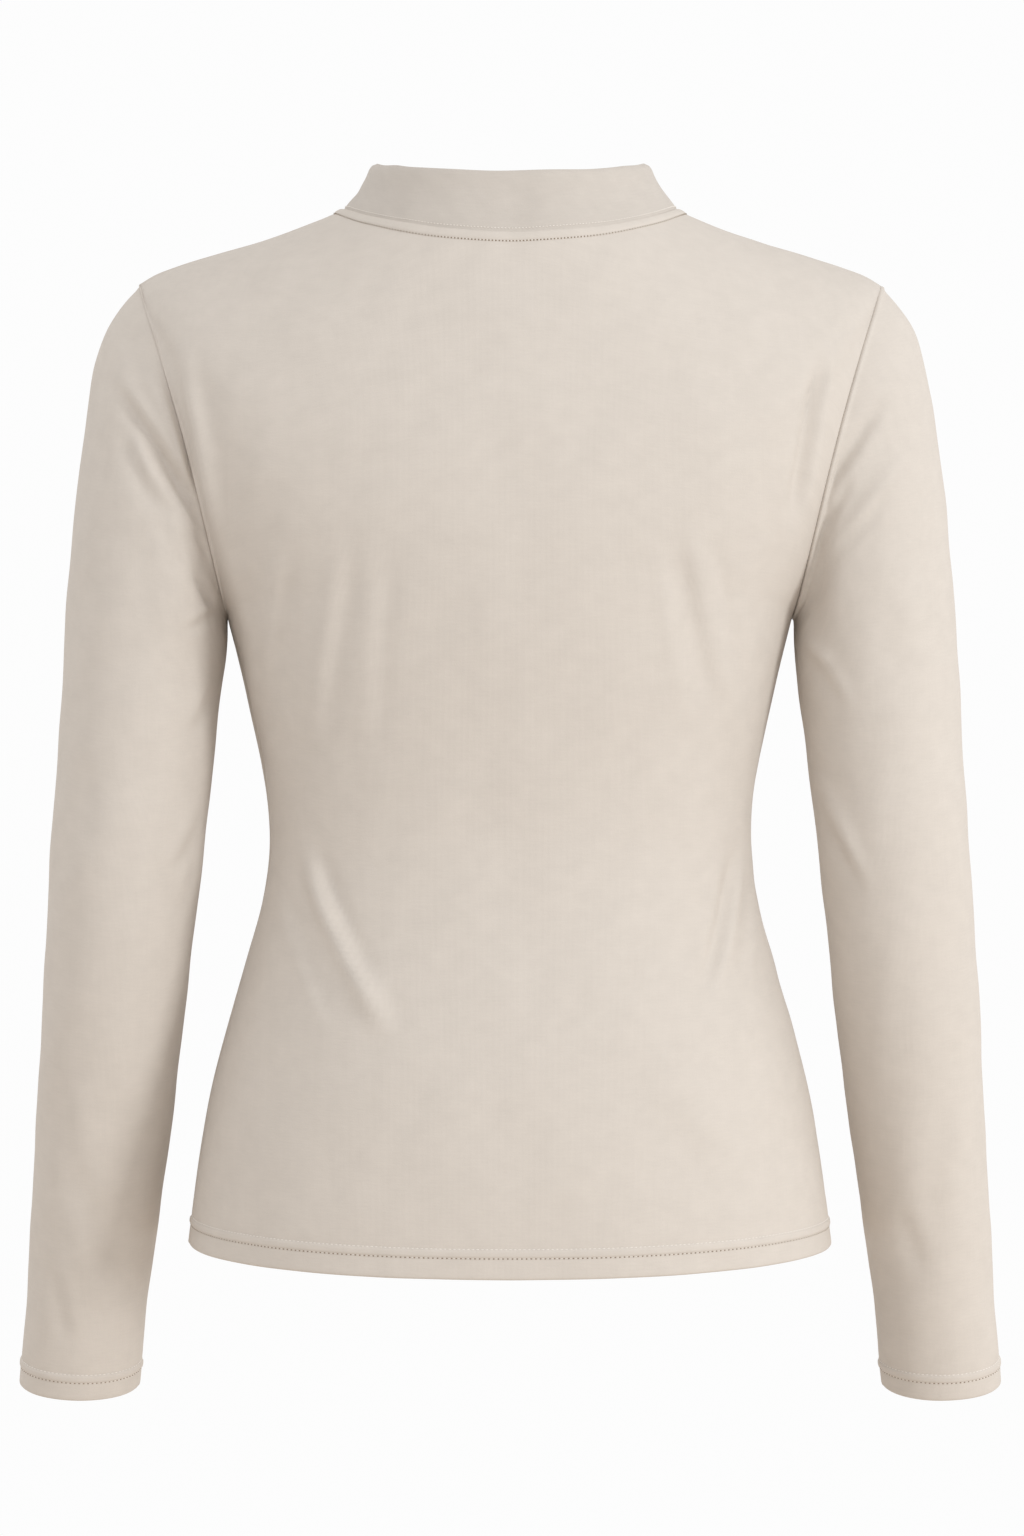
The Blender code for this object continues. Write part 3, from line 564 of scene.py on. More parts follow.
def panel_rows(face, walls):
    """Ends, middle height, depth and edge distances of every row, from hem to neck."""
    table = MIDDLE[face]
    low, high = MIDDLE_AT_UNDERARM, MIDDLE_AT_TIP[face]
    hem_marks = folded_marks(HEM_NEEDLES, walls)
    plain = np.linspace(HEM_SIDE + hem_marks[-1], UNDERARM[1], SIDE_ROWS + 1)[1:]
    side_z = np.concatenate([HEM_SIDE + hem_marks, plain])
    side_x = smooth(column(SIDE, "height"), column(SIDE, "half_width"), side_z)
    side_ends = np.stack([side_x, 0 * side_x, side_z], axis=-1)
    rise = (side_z - HEM_SIDE) / (UNDERARM[1] - HEM_SIDE)
    side_middle = side_z - HEM_CENTRE_DROP * (1 - rise) ** 2
    side_middle += (low - UNDERARM[1]) * rise ** 3

    turn = armhole_turns()[-2::-1]
    arm_ends = armhole(turn, face)
    arm_middle = high + (low - high) * turn / np.pi

    neck_marks = np.concatenate([needle_marks(NECK_NEEDLES)[::-1], [0.0]])
    neck_x = NECK_POINT[0] + neck_marks * NECK_SPREAD
    neck_middle = table[-1].height - neck_marks
    part = np.linspace(0.0, 1.0, SHOULDER_ROWS + 2)[1:-1]
    over_shoulder = SHOULDER_TIP[0] + (neck_x[0] - SHOULDER_TIP[0]) * part ** TIP_ROUNDING
    top_x = np.append(over_shoulder, neck_x)
    top_middle = high + (neck_middle[0] - high) * part
    top_z = smooth(column(SHOULDER, "x"), column(SHOULDER, "height"), top_x)
    top_ends = np.stack([top_x, 0 * top_x, top_z], axis=-1)

    middle = np.concatenate([side_middle, arm_middle, top_middle, neck_middle])
    arm_nearness = (arm_ends[:, 2] - UNDERARM[1]) / (SHOULDER_TIP[1] - UNDERARM[1])
    top_nearness = (top_x - NECK_POINT[0]) / (SHOULDER_TIP[0] - NECK_POINT[0])
    nearness = np.concatenate([0 * side_z, arm_nearness, top_nearness])
    hem_distance = np.full(len(middle), np.inf)
    neck_distance = hem_distance.copy()
    hem_distance[:len(side_z)] = side_z - HEM_SIDE
    neck_distance[-len(neck_marks):] = neck_marks
    return {
        "ends": np.concatenate([side_ends, arm_ends, top_ends]),
        "middle": middle,
        "power": ROW_DROP_POWER + BLADE_POWER * nearness,
        "rounding": 1 + BLADE_ROUNDING * nearness,
        "depth": smooth(column(table, "height"), column(table, "depth"), middle),
        "underarm": len(side_z) - 1,
        "tip": len(side_z) - 1 + ARMHOLE_ROWS,
        "hem_distance": hem_distance,
        "neck_distance": neck_distance,
    }


def panel_form(face, walls):
    """A panel's outer points, before its relief, and its rows.

    Along a row, x is the half width times the sine of an angle. The distance behind (or
    in front of) the side is the depth times 1 - (1 - cosine) ** SECTION_FLATNESS. The
    height changes from a ridge, at a quarter turn, to the row's middle by 1 - (1 - cosine
    ** power) ** rounding. Where the armhole cuts a row short, the ridge is where it would
    have been.
    """
    rows = panel_rows(face, walls)
    index = np.arange(len(rows["middle"]))
    first = np.count_nonzero(np.isfinite(rows["hem_distance"])) - SIDE_ROWS
    last = len(index) - np.count_nonzero(np.isfinite(rows["neck_distance"]))
    free = ease((index - first) / RELAX_EDGE) * ease((last - index) / RELAX_EDGE)
    outward = -1.0 if face == "back" else 1.0
    end_x, end_y, end_z = rows["ends"].T
    depth, middle = rows["depth"], rows["middle"]
    end_cosine = 1 - (1 - np.abs(end_y) / depth) ** (1 / SECTION_FLATNESS)
    end_angle = np.arccos(end_cosine)
    power, rounding = rows["power"], rows["rounding"]
    fallen = 1 - (1 - end_cosine ** power) ** rounding
    ridge = (end_z - middle * fallen) / (1 - fallen)
    even = np.linspace(-1.0, 1.0, PANEL_COLUMNS + 1)
    across = (even + EDGE_CROWDING * np.sin(np.pi * even) / np.pi) * -outward
    angle = end_angle[:, None] * across[None, :]
    cosine = np.clip(np.cos(angle), 0, 1)
    x = (end_x / np.sin(end_angle))[:, None] * np.sin(angle)
    y = outward * depth[:, None] * (1 - (1 - cosine) ** SECTION_FLATNESS)
    fall = 1 - (1 - cosine ** power[:, None]) ** rounding[:, None]
    z = ridge[:, None] + (middle - ridge)[:, None] * fall
    return relaxed(np.stack([x, y, z], axis=-1), free), rows


def sleeve_form(walls):
    """The right sleeve's outer points, before its relief, and each row's cuff distance.

    Its sections are ovals: wide is (1 + cosine) / 2 of the angle, 1 at the outer edge of
    the arm, and deep is the sine, 1 at its back. Columns start at the sleeve's own seam,
    inside the arm, and run over the front, the outer edge and the back. The first
    section is the armhole, and the sections shed its shape as they turn level.
    """
    turns = armhole_turns()
    front, back = turns[:0:-1], turns[:-1]
    loop = np.concatenate([armhole(front, "front"), armhole(back, "back")])
    angle = np.concatenate([-front, back])
    steps = np.linspace(0.0, 1.0, CAP_ROWS + 1) ** CAP_SPACING
    cap_z = SHOULDER_TIP[1] + (CAP_END - SHOULDER_TIP[1]) * steps
    cuff_z = SLEEVE[-1].outer_z
    marks = folded_marks(CUFF_NEEDLES, walls)[::-1]
    arm_z = np.linspace(CAP_END, cuff_z + marks[0], ARM_ROWS + 1)[1:-1]
    outer_z = np.concatenate([cap_z, arm_z, cuff_z + marks])
    stations = column(SLEEVE, "outer_z")
    found = {
        name: smooth(stations, column(SLEEVE, name), outer_z)[:, None]
        for name in SleeveRow._fields[1:]
    }
    outer_z = outer_z[:, None]
    wide = (1 + np.cos(angle))[None, :] / 2
    deep = np.sin(angle)[None, :]
    x = found["inner_x"] + (found["outer_x"] - found["inner_x"]) * wide
    y = found["middle_y"] * np.ones_like(wide) - found["half_depth"] * deep
    z = found["inner_z"] + (outer_z - found["inner_z"]) * wide - found["back_drop"] * deep
    points = np.stack([x, y, z], axis=-1)
    shed = np.clip(1 - (SHOULDER_TIP[1] - outer_z) / ARMHOLE_REACH, 0, 1) ** 2
    points += (loop - points[0])[None] * shed[:, :, None]
    return points, (outer_z - cuff_z)[:, 0]


def collar_form(neck_points):
    """The collar's outer face: each neckline point leans in and rises by the profile.

    The lean and the height change from the side to the middle by the squared sine and
    cosine of the angle around the neck.
    """
    half_width = NECK_POINT[0]
    x, y, _ = neck_points.T
    behind = y < 0
    deep = np.where(behind, MIDDLE["back"][-1].depth, MIDDLE["front"][-1].depth)
    weight = np.clip(np.abs(x) / half_width, 0, 1) ** 2
    lean_mid = np.where(behind, COLLAR["back"].lean, COLLAR["front"].lean)
    height_mid = np.where(behind, COLLAR["back"].height, COLLAR["front"].height)
    lean = COLLAR["side"].lean * weight + lean_mid * (1 - weight)
    height = COLLAR["side"].height * weight + height_mid * (1 - weight)
    towards = unit(np.stack([-x / half_width ** 2, -y / deep ** 2, 0 * x], axis=-1))
    stations = np.arange(len(COLLAR_PROFILE))
    at = np.linspace(0, stations[-1], COLLAR_ROWS)
    leans = smooth(stations, column(COLLAR_PROFILE, "lean"), at)[:, None, None]
    heights = smooth(stations, column(COLLAR_PROFILE, "height"), at)[:, None, None]
    up = np.array([0.0, 0.0, 1.0])
    return neck_points + towards * lean[:, None] * leans + up * height[:, None] * heights


def fold_relief(points, folds):
    """Depth of the creases at each point, in the plane seen from behind.

    A crease is a line from start to end, bowed sideways as a parabola. Across it, t is
    the distance over its width. The trough is a bell curve of t, and the step is t times
    the same bell curve. Both fade out towards the crease's ends.
    """
    depth = np.zeros(points.shape[:-1])
    for fold in folds:
        start = np.array([fold.start_x, fold.start_z])
        run = np.array([fold.end_x, fold.end_z]) - start
        length = np.hypot(*run)
        along_way = run / length
        offset = points[..., [0, 2]] - start
        along = (offset @ along_way) / length
        sideways = offset @ np.array([-along_way[1], along_way[0]])
        sideways -= 4 * fold.bow * along * (1 - along)
        to_end = np.minimum(along, 1 - along) + FOLD_OVERRUN
        t = sideways / fold.width
        section = (fold.trough - fold.step * t / STEP_SCALE) * bell(t, 1.0)
        depth += section * ease(to_end / FOLD_TAPER)
    return depth


def uneven(points):
    """Slack of the cloth: a sum of sines along slanting directions of different lengths."""
    x, y, z = np.moveaxis(points, -1, 0)
    total = 0.0
    for wave in WAVES:
        turn = 2 * np.pi / wave.length
        total = total + wave.height * np.sin(
            turn * (wave.x * x + wave.y * y + wave.z * z) + wave.shift * np.sin(turn * x / 2)
        )
    return total


def relaxed(points, free):
    """A grid whose rows are evened out where free is 1, less so towards its sewn sides."""
    place = np.arange(points.shape[1])
    inward = ease(np.minimum(place, place[::-1]) / RELAX_SIDE)
    weight = RELAX_WEIGHT * (free[1:-1, None] * inward[None, 1:-1])[..., None]
    for _ in range(RELAX_PASSES):
        mean = (points[:-2, 1:-1] + points[2:, 1:-1]) / 2
        points = points.copy()
        points[1:-1, 1:-1] += weight * (mean - points[1:-1, 1:-1])
    return points


def seam_relief(distance, allowance):
    """The cloth rolls into a seam, and is lifted by the allowance that lies under it."""
    lift = ALLOWANCE_LIFT * allowance * bell(distance - ALLOWANCE_PLACE, ALLOWANCE_REACH)
    return lift - SEAM_DIP * bell(distance, SEAM_REACH)


def hem_thickness(distance, needles, walls):
    """Thickness of the cloth: doubled below a hem's needle rows, plain above them."""
    doubled = 1 - ease((distance - needles.near) / (needles.far - needles.near))
    return walls.plain + (walls.hem - walls.plain) * doubled


# A piece's grids. It wraps where it is a tube, and rows are its named rows and distances.
Cloth = namedtuple("Cloth", "points normals outer inner wraps rows")


def panel_cloth(face, folds, walls):
    """A panel's surfaces before its edges are sewn: outer with its relief, and inner."""
    base, rows = panel_form(face, walls)
    across = lengths(base, 1)
    to_side = np.minimum(across, across[:, -1:] - across)
    to_neck = lengths(base[::-1], 0)[::-1]
    base_normals = normals_of(base, False)
    fade = ease(to_side / FOLD_FADE)
    sunk = fold_relief(base, folds) + uneven(base)
    points = base - base_normals * (sunk * fade)[..., None]
    normals = normals_of(points, False)
    allowance = np.where(base[..., 0] < 0, 1.0, 0.0)
    hem = rows["hem_distance"][:, None]
    relief = seam_relief(to_side, allowance) + needle_relief(hem, HEM_NEEDLES)
    relief = relief + needle_relief(rows["neck_distance"][:, None], NECK_NEEDLES)
    relief -= SEAM_DIP * bell(to_neck, SEAM_REACH)
    outer = points + normals * relief[..., None]
    inner = points - normals * hem_thickness(hem, HEM_NEEDLES, walls)[..., None]
    return Cloth(points, normals, outer, inner, False, rows)


def sleeve_cloth(word, walls):
    """A sleeve's surfaces before its edge is sewn. The left one is the right, mirrored."""
    base, cuff_distance = sleeve_form(walls)
    if word == "left":
        base = base * np.array([-1.0, 1.0, 1.0])
        base = np.roll(base[:, ::-1], 1, axis=1)
    base_normals = normals_of(base, True)
    facing = np.clip(-base_normals[..., 1] * FACING_SHARPNESS, -1, 1)
    to_armhole = lengths(base, 0)
    sunk = fold_relief(base, SLEEVE_FOLDS[word]["back"]) * np.clip(facing, 0, 1)
    sunk += fold_relief(base, SLEEVE_FOLDS[word]["front"]) * np.clip(-facing, 0, 1)
    sunk = (sunk + uneven(base)) * ease(to_armhole / FOLD_FADE)
    points = base - base_normals * sunk[..., None]
    normals = normals_of(points, True)
    closed = np.concatenate([base, base[:, :1]], axis=1)
    around = lengths(closed, 1)
    to_inseam = np.minimum(around, around[:, -1:] - around)[:, :-1]
    allowance = 1.0 if word == "right" else 0.0
    relief = seam_relief(to_armhole, allowance) + seam_relief(to_inseam, INSEAM_ALLOWANCE)
    cuff = cuff_distance[:, None]
    relief = relief + needle_relief(cuff, CUFF_NEEDLES)
    outer = points + normals * relief[..., None]
    inner = points - normals * hem_thickness(cuff, CUFF_NEEDLES, walls)[..., None]
    return Cloth(points, normals, outer, inner, True, {"cuff_distance": cuff_distance})


def collar_cloth(neck_points, walls):
    """The collar's surfaces before its edge is sewn. Its rim is rounded at the sides."""
    points = collar_form(neck_points)
    normals = normals_of(points, True)
    to_seam = lengths(points, 0)
    sunk = COLLAR_SLACK * uneven(points) * ease(to_seam / FOLD_FADE)
    sunk = sunk + fold_relief(points, COLLAR_FOLDS) * (points[..., 1] < 0)
    to_rim = to_seam[-1:] - to_seam
    sideways = np.clip(np.abs(points[..., 0]) / np.abs(points[-1, :, 0]).max(), 0, 1)
    outermost = (sideways - CORNER_START) / (1 - CORNER_START)
    rounded = CORNER_DEPTH * bell(to_rim, CORNER_REACH) * ease(outermost)
    relief = seam_relief(to_seam, 0.0) - sunk - rounded
    outer = points + normals * relief[..., None]
    return Cloth(points, normals, outer, points - normals * walls.collar, True, {})


def sew(pieces, wall):
    """Join the edges of pieces along a seam.

    pieces are pairs of a cloth and the index of its edge. Every edge gets the same outer
    point, sunk by SEAM_DIP along the mean normal, and the same inner point.
    """
    mean = unit(sum(cloth.normals[edge] for cloth, edge in pieces))
    first, first_edge = pieces[0]
    seam_points = first.points[first_edge]
    for cloth, edge in pieces:
        cloth.outer[edge] = seam_points - mean * SEAM_DIP
        cloth.inner[edge] = seam_points - mean * wall


def garment():
    """The five sewn pieces, worked out again only when a thickness has changed."""
    jersey = settings().jersey
    return sewn_pieces(Walls(jersey.wall / MM, jersey.hem_wall / MM, jersey.collar_wall / MM))


@lru_cache(maxsize=1)
def sewn_pieces(walls):
    """All five pieces, sewn together along their seams."""
    back = panel_cloth("back", BACK_FOLDS, walls)
    front = panel_cloth("front", FRONT_FOLDS, walls)
    left, right = sleeve_cloth("left", walls), sleeve_cloth("right", walls)
    neck_points = np.concatenate([back.points[-1], front.points[-1, 1:-1]])
    collar = collar_cloth(neck_points, walls)
    wall = walls.plain
    low, high = back.rows["underarm"], back.rows["tip"]
    half = ARMHOLE_ROWS
    for sleeve, back_col, front_col in ((left, 0, -1), (right, -1, 0)):
        # the sleeve's columns run from the underarm over the front on the right sleeve,
        # and over the back on the left one
        first_half = np.arange(0, half + 1)
        second_half = np.append(np.arange(2 * half, half, -1) % (2 * half), half)
        over_front, over_back = (
            (first_half, second_half) if sleeve is right else (second_half, first_half)
        )
        inside = slice(1, -1)
        for cloth, col, over in ((back, back_col, over_back), (front, front_col, over_front)):
            rows = np.arange(low, high + 1)
            sew([(cloth, (rows[inside], col)), (sleeve, (0, over[inside]))], wall)
        for row, at in ((low, 0), (high, half)):
            sew([(back, (row, back_col)), (front, (row, front_col)), (sleeve, (0, at))], wall)
        for span in (slice(0, low), slice(high + 1, len(back.points) - 1)):
            sew([(back, (span, back_col)), (front, (span, front_col))], wall)
    last = len(back.points) - 1
    middle = np.arange(1, PANEL_COLUMNS)
    sew([(back, (last, middle)), (collar, (0, middle))], wall)
    sew([(front, (last, middle)), (collar, (0, PANEL_COLUMNS + middle))], wall)
    sew([(back, (last, 0)), (front, (last, PANEL_COLUMNS)), (collar, (0, 0))], wall)
    sew([(back, (last, PANEL_COLUMNS)), (front, (last, 0)), (collar, (0, PANEL_COLUMNS))], wall)
    return {
        "back": back, "front": front, "collar": collar,
        "sleeve_left": left, "sleeve_right": right,
    }


def folded_edge(outer, inner, away):
    """Rings of a half-round fold from a wall's inner edge to its outer edge.

    Each ring is the wall's middle, plus cosine times half the wall, plus sine times half
    its thickness away from the cloth.
    """
    angle = np.radians(FOLD_TURNS)[:, None, None]
    middle, half = (outer + inner) / 2, (outer - inner) / 2
    radius = np.linalg.norm(half, axis=-1, keepdims=True)
    return middle + np.cos(angle) * half + np.sin(angle) * radius * away


def shell_quads(rows, columns, wraps):
    """Quads of a closed strip of rings: corner rows and columns, counted on past the end."""
    cells = columns if wraps else columns - 1
    row, col = np.meshgrid(np.arange(rows), np.arange(cells), indexing="ij")
    corners_row = np.stack([row, row, row + 1, row + 1], axis=-1).reshape(-1, 4) % rows
    corners_col = np.stack([col, col + 1, col + 1, col], axis=-1).reshape(-1, 4)
    return corners_row, corners_col


def side_rims(row_count, rings, columns):
    """Faces that close a panel's wall at its first and last column."""
    row = np.arange(row_count - 1)
    mate = 2 * row_count - 1 - row
    strip = np.stack([row, row + 1, mate - 1, mate], axis=-1) * columns
    cap = [r % rings * columns for r in range(2 * row_count - 1, rings + 1)]
    far = columns - 1
    faces = strip.tolist() + [cap]
    faces += (strip[:, ::-1] + far).tolist() + [[index + far for index in reversed(cap)]]
    return faces


def cloth_object(name, cloth):
    """A closed mesh of a cloth's two surfaces, with the UV map "cloth" in metres.

    A panel is folded at its first row and a tube at its last. The UV map's u is the
    length across from the middle column, v the length along.
    """
    outer, inner, points, wraps = cloth.outer, cloth.inner, cloth.points, cloth.wraps
    if wraps:
        outer, inner, points = outer[::-1], inner[::-1], points[::-1]
    away = unit(points[0] - points[1])
    rings = np.concatenate([outer, inner[::-1], folded_edge(outer[0], inner[0], away)])
    if wraps:
        points = np.concatenate([points, points[:, :1]], axis=1)
    u = lengths(points, 1)
    u = u - u[:, u.shape[1] // 2][:, None]
    uv = np.stack([u, lengths(points, 0)], axis=-1) * MM
    uv = np.concatenate([uv, uv[::-1], np.repeat(uv[:1], len(rings) - 2 * len(outer), axis=0)])
    ring_count, columns = rings.shape[:2]
    corner_row, corner_col = shell_quads(ring_count, columns, wraps)
    quads = corner_row * columns + corner_col % columns
    quad_uv = uv[corner_row, corner_col]
    if wraps:
        quads, quad_uv = quads[:, ::-1], quad_uv[:, ::-1]
    faces = quads.tolist()
    if not wraps:
        faces += side_rims(len(outer), ring_count, columns)
    mesh = bpy.data.meshes.new(name)
    mesh.from_pydata((rings.reshape(-1, 3) * MM).tolist(), [], faces)
    layer = mesh.uv_layers.new(name="cloth")
    corner_uv = uv[:, :columns].reshape(-1, 2)[loop_vertices(mesh)]
    corner_uv[:quad_uv.size // 2] = quad_uv.reshape(-1, 2)
    layer.data.foreach_set("uv", corner_uv.astype(np.float32).ravel())
    mesh.shade_smooth()
    mesh.set_sharp_from_angle(angle=np.radians(SHARP_ANGLE))
    return linked(name, mesh)


def loop_vertices(mesh):
    """Vertex index of every face corner of a mesh."""
    found = np.empty(len(mesh.loops), np.int32)
    mesh.loops.foreach_get("vertex_index", found)
    return found


def linked(name, data):
    """A new object in the scene."""
    made = bpy.data.objects.new(name, data)
    bpy.context.scene.collection.objects.link(made)
    return made


def settings():
    """The garment's property groups, kept on the scene."""
    return bpy.context.scene.mock_neck_top


def cloth_piece(node):
    """Make the piece that stands for a solid, with its material, and hide that solid."""
    cloth = garment()[node]
    piece = cloth_object(node + "_jersey", cloth)
    piece.data.materials.append(jersey_material(node == "collar"))
    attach(piece, BODY)
    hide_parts(node)
    points = cloth.points
    if cloth.wraps:
        points = np.concatenate([points, points[:, :1]], axis=1)
    return piece


class NodeTree:
    """A new material, with a few short calls to lay out its nodes."""

    def __init__(self, name):
        material = bpy.data.materials.new(name)
        self.material = material
        material.use_nodes = True
        self.tree = material.node_tree
        self.shader = self.tree.nodes["Principled BSDF"]

    def add(self, kind, values=None, **properties):
        node = self.tree.nodes.new("ShaderNode" + kind)
        for name, value in properties.items():
            setattr(node, name, value)
        for name, value in (values or {}).items():
            self.put(node.inputs[name], value)
        return node

    def put(self, socket, value):
        if isinstance(value, bpy.types.NodeSocket):
            self.tree.links.new(value, socket)
        else:
            socket.default_value = value

    def math(self, operation, first, second=0.0):
        node = self.add("Math", operation=operation)
        self.put(node.inputs[0], first)
        self.put(node.inputs[1], second)
        return node.outputs[0]

    def weighted(self, parts, shares, total):
        """A total, plus each part times its share."""
        for name, share in shares.items():
            total = self.math("ADD", self.math("MULTIPLY", parts[name], share), total)
        return total

    def shaded(self, colour, shade):
        """A colour times a shade."""
        scaled = self.add("VectorMath", operation="SCALE")
        scaled.inputs[0].default_value = tuple(colour)
        self.put(scaled.inputs["Scale"], shade)
        return scaled.outputs[0]

    def noise(self, place, across, along, detail):
        """Noise from 0 to 1, of a size across and along the cloth."""
        scale = (1 / (across * MM), 1 / (along * MM), 1)
        sized = self.add("Mapping", {"Vector": place, "Scale": scale})
        made = self.add("TexNoise", {"Vector": sized.outputs[0], "Scale": 1.0, "Detail": detail})
        return made.outputs["Fac"]


def jersey_material(doubled):
    """Brushed cream jersey: fine wales and grain, a soft nap and faint uneven shade.

    The collar has the same knit with painted shade: its colour is scaled darker, standing
    in for shade that falls on it.
    """
    name = "doubled_jersey" if doubled else "brushed_jersey"
    known = bpy.data.materials.get(name)
    if known:
        return known
    jersey = settings().jersey
    nodes = NodeTree(name)
    place = nodes.add("UVMap", uv_map="cloth").outputs[0]
    split = nodes.add("SeparateXYZ", {"Vector": place})
    wale_turn = nodes.math("MULTIPLY", split.outputs["X"], 2 * np.pi / jersey.wale)
    parts = {kind: nodes.noise(place, *size) for kind, size in NOISES.items()}
    parts["wale"] = nodes.math("SINE", wale_turn)
    height = nodes.weighted(parts, RELIEFS, 0.0)
    bump = nodes.add("Bump", {"Strength": 1.0, "Distance": jersey.bump, "Height": height})
    # painted shade: the collar's colour is scaled darker, standing in for shade that falls on it
    plain_shade = jersey.collar_painted_shade if doubled else 1.0
    shade = nodes.weighted(parts, SHADES, plain_shade - sum(SHADES.values()) / 2)
    shader = nodes.shader
    nodes.put(shader.inputs["Base Color"], nodes.shaded(jersey.colour, shade))
    nodes.put(shader.inputs["Normal"], bump.outputs[0])
    shader.inputs["Roughness"].default_value = jersey.roughness
    shader.inputs["Specular IOR Level"].default_value = 0.25
    shader.inputs["Sheen Weight"].default_value = jersey.sheen
    shader.inputs["Sheen Roughness"].default_value = 0.45
    shader.inputs["Sheen Tint"].default_value = (1.0, 0.97, 0.93, 1.0)
    return nodes.material


def thread_material():
    """Cream polyester thread with a slight gloss and the twist of its plies."""
    known = bpy.data.materials.get("hem_thread")
    if known:
        return known
    nodes = NodeTree("hem_thread")
    place = nodes.add("TexCoord").outputs["Object"]
    grain = nodes.add("TexNoise", {"Vector": place, "Scale": TWIST_DENSITY, "Detail": 1.0})
    grain = grain.outputs["Fac"]
    shade = nodes.weighted({"twist": grain}, {"twist": TWIST_SHADE}, 1 - TWIST_SHADE / 2)
    bump = nodes.add("Bump", {"Strength": 1.0, "Distance": TWIST_RELIEF * MM, "Height": grain})
    colour = nodes.shaded(settings().stitch.colour, shade)
    nodes.put(nodes.shader.inputs["Base Color"], colour)
    nodes.put(nodes.shader.inputs["Normal"], bump.outputs[0])
    nodes.shader.inputs["Roughness"].default_value = 0.55
    return nodes.material


def matte_material(name, colour):
    """A plain matte paint, of one colour all over."""
    known = bpy.data.materials.get(name)
    if known:
        return known
    nodes = NodeTree(name)
    nodes.shader.inputs["Base Color"].default_value = colour
    nodes.shader.inputs["Roughness"].default_value = 0.95
    return nodes.material


def between(at, run, values):
    """Values between the points of a line, at lengths along it, by straight lines."""
    return np.stack([np.interp(at, run, values[:, axis]) for axis in range(3)], axis=-1)


def spindles(points, normals, closed, pitch, start, length, thickness, rise):
    """Spindles along a line of points on the cloth, one a pitch, from a share of it on.

    With t from -1 to 1 along a spindle, its radius is half its thickness times the square
    root of 1 - t squared. Its height over the cloth falls from rise by t squared, so that
    both its ends dive into the cloth.
    """
    if closed:
        points = np.concatenate([points, points[:1]])
        normals = np.concatenate([normals, normals[:1]])
    run = lengths(points, 0)
    count = int(round(run[-1] * MM / pitch))
    at = (np.arange(count) + start) * run[-1] / count
    centre = between(at, run, points)
    normal = unit(between(at, run, normals))
    tangent = unit(between(at, run, np.gradient(points, run, axis=0)))
    beside = np.cross(tangent, normal)
    t = np.array(SPINDLE_RINGS)[None, :, None, None]
    turn = (np.arange(SPINDLE_SIDES) * 2 * np.pi / SPINDLE_SIDES)[None, None, :, None]
    radius = thickness / MM / 2 * np.sqrt(1 - t * t)
    centre, tangent, normal, beside = (
        v[:, None, None, :] for v in (centre, tangent, normal, beside)
    )
    lift = thickness / MM * (rise - SPINDLE_DIVE * t * t)
    made = centre + tangent * t * length / MM / 2 + normal * lift
    made = made + radius * (beside * np.cos(turn) + normal * np.sin(turn))
    return made


def stitch_row(cloth, row, closed, pitch):
    """A needle row of threads."""
    stitch = settings().stitch
    return spindles(
        cloth.outer[row], cloth.normals[row], closed, pitch, 0.5,
        pitch * stitch.cover, stitch.thickness, THREAD_RISE,
    )


def hole_shadow_row(cloth, row, closed, pitch):
    """Painted shadows in the needle holes between the threads of a row, as small dark spots."""
    hole = settings().stitch.hole
    return spindles(
        cloth.outer[row], cloth.normals[row], closed, pitch, 0.0,
        hole, hole * HOLE_WIDTH, HOLE_RISE,
    )


def stitch_object(name, rows, material):
    """One mesh of all the spindles of some needle rows."""
    points = np.concatenate(rows)
    count, rings, sides = points.shape[:3]
    ring, side = np.meshgrid(np.arange(rings - 1), np.arange(sides), indexing="ij")
    beside = (side + 1) % sides
    quads = np.stack([
        ring * sides + side, (ring + 1) * sides + side,
        (ring + 1) * sides + beside, ring * sides + beside,
    ], axis=-1).reshape(-1, 4)
    starts = (np.arange(count) * rings * sides)[:, None, None]
    faces = (starts + quads[None]).reshape(-1, 4).tolist()
    cap = np.arange(sides)[None, :]
    faces += (starts[:, 0] + cap).tolist()
    faces += (starts[:, 0] + (rings - 1) * sides + cap[:, ::-1]).tolist()
    mesh = bpy.data.meshes.new(name)
    mesh.from_pydata((points.reshape(-1, 3) * MM).tolist(), [], faces)
    mesh.shade_smooth()
    piece = linked(name, mesh)
    piece.data.materials.append(material)
    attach(piece, BODY)
    return piece


def row_at(distances, wanted):
    """Index of the row nearest to a distance."""
    return int(np.argmin(np.abs(distances - wanted)))


class PieceOperator:
    """What the operators share. Its nodes are the solids whose pieces it makes."""

    bl_options = {"REGISTER", "UNDO"}
    nodes = ()

    def execute(self, context):
        for node in self.nodes:
            cloth_piece(node)
        return {"FINISHED"}


class TOP_OT_back(PieceOperator, bpy.types.Operator):
    """Cut the back, from the side seams to the neckline"""

    bl_idname = "mock_neck_top.back"
    bl_label = "Back"
    nodes = ("back",)


class TOP_OT_front(PieceOperator, bpy.types.Operator):
    """Cut the front, from the side seams to the neckline"""

    bl_idname = "mock_neck_top.front"
    bl_label = "Front"
    nodes = ("front",)


class TOP_OT_sleeves(PieceOperator, bpy.types.Operator):
    """Set in both sleeves, from the armholes to the cuffs"""

    bl_idname = "mock_neck_top.sleeves"
    bl_label = "Sleeves"
    nodes = ("sleeve_left", "sleeve_right")


class TOP_OT_collar(PieceOperator, bpy.types.Operator):
    """Fold and set on the mock neck"""

    bl_idname = "mock_neck_top.collar"
    bl_label = "Collar"
    nodes = ("collar",)


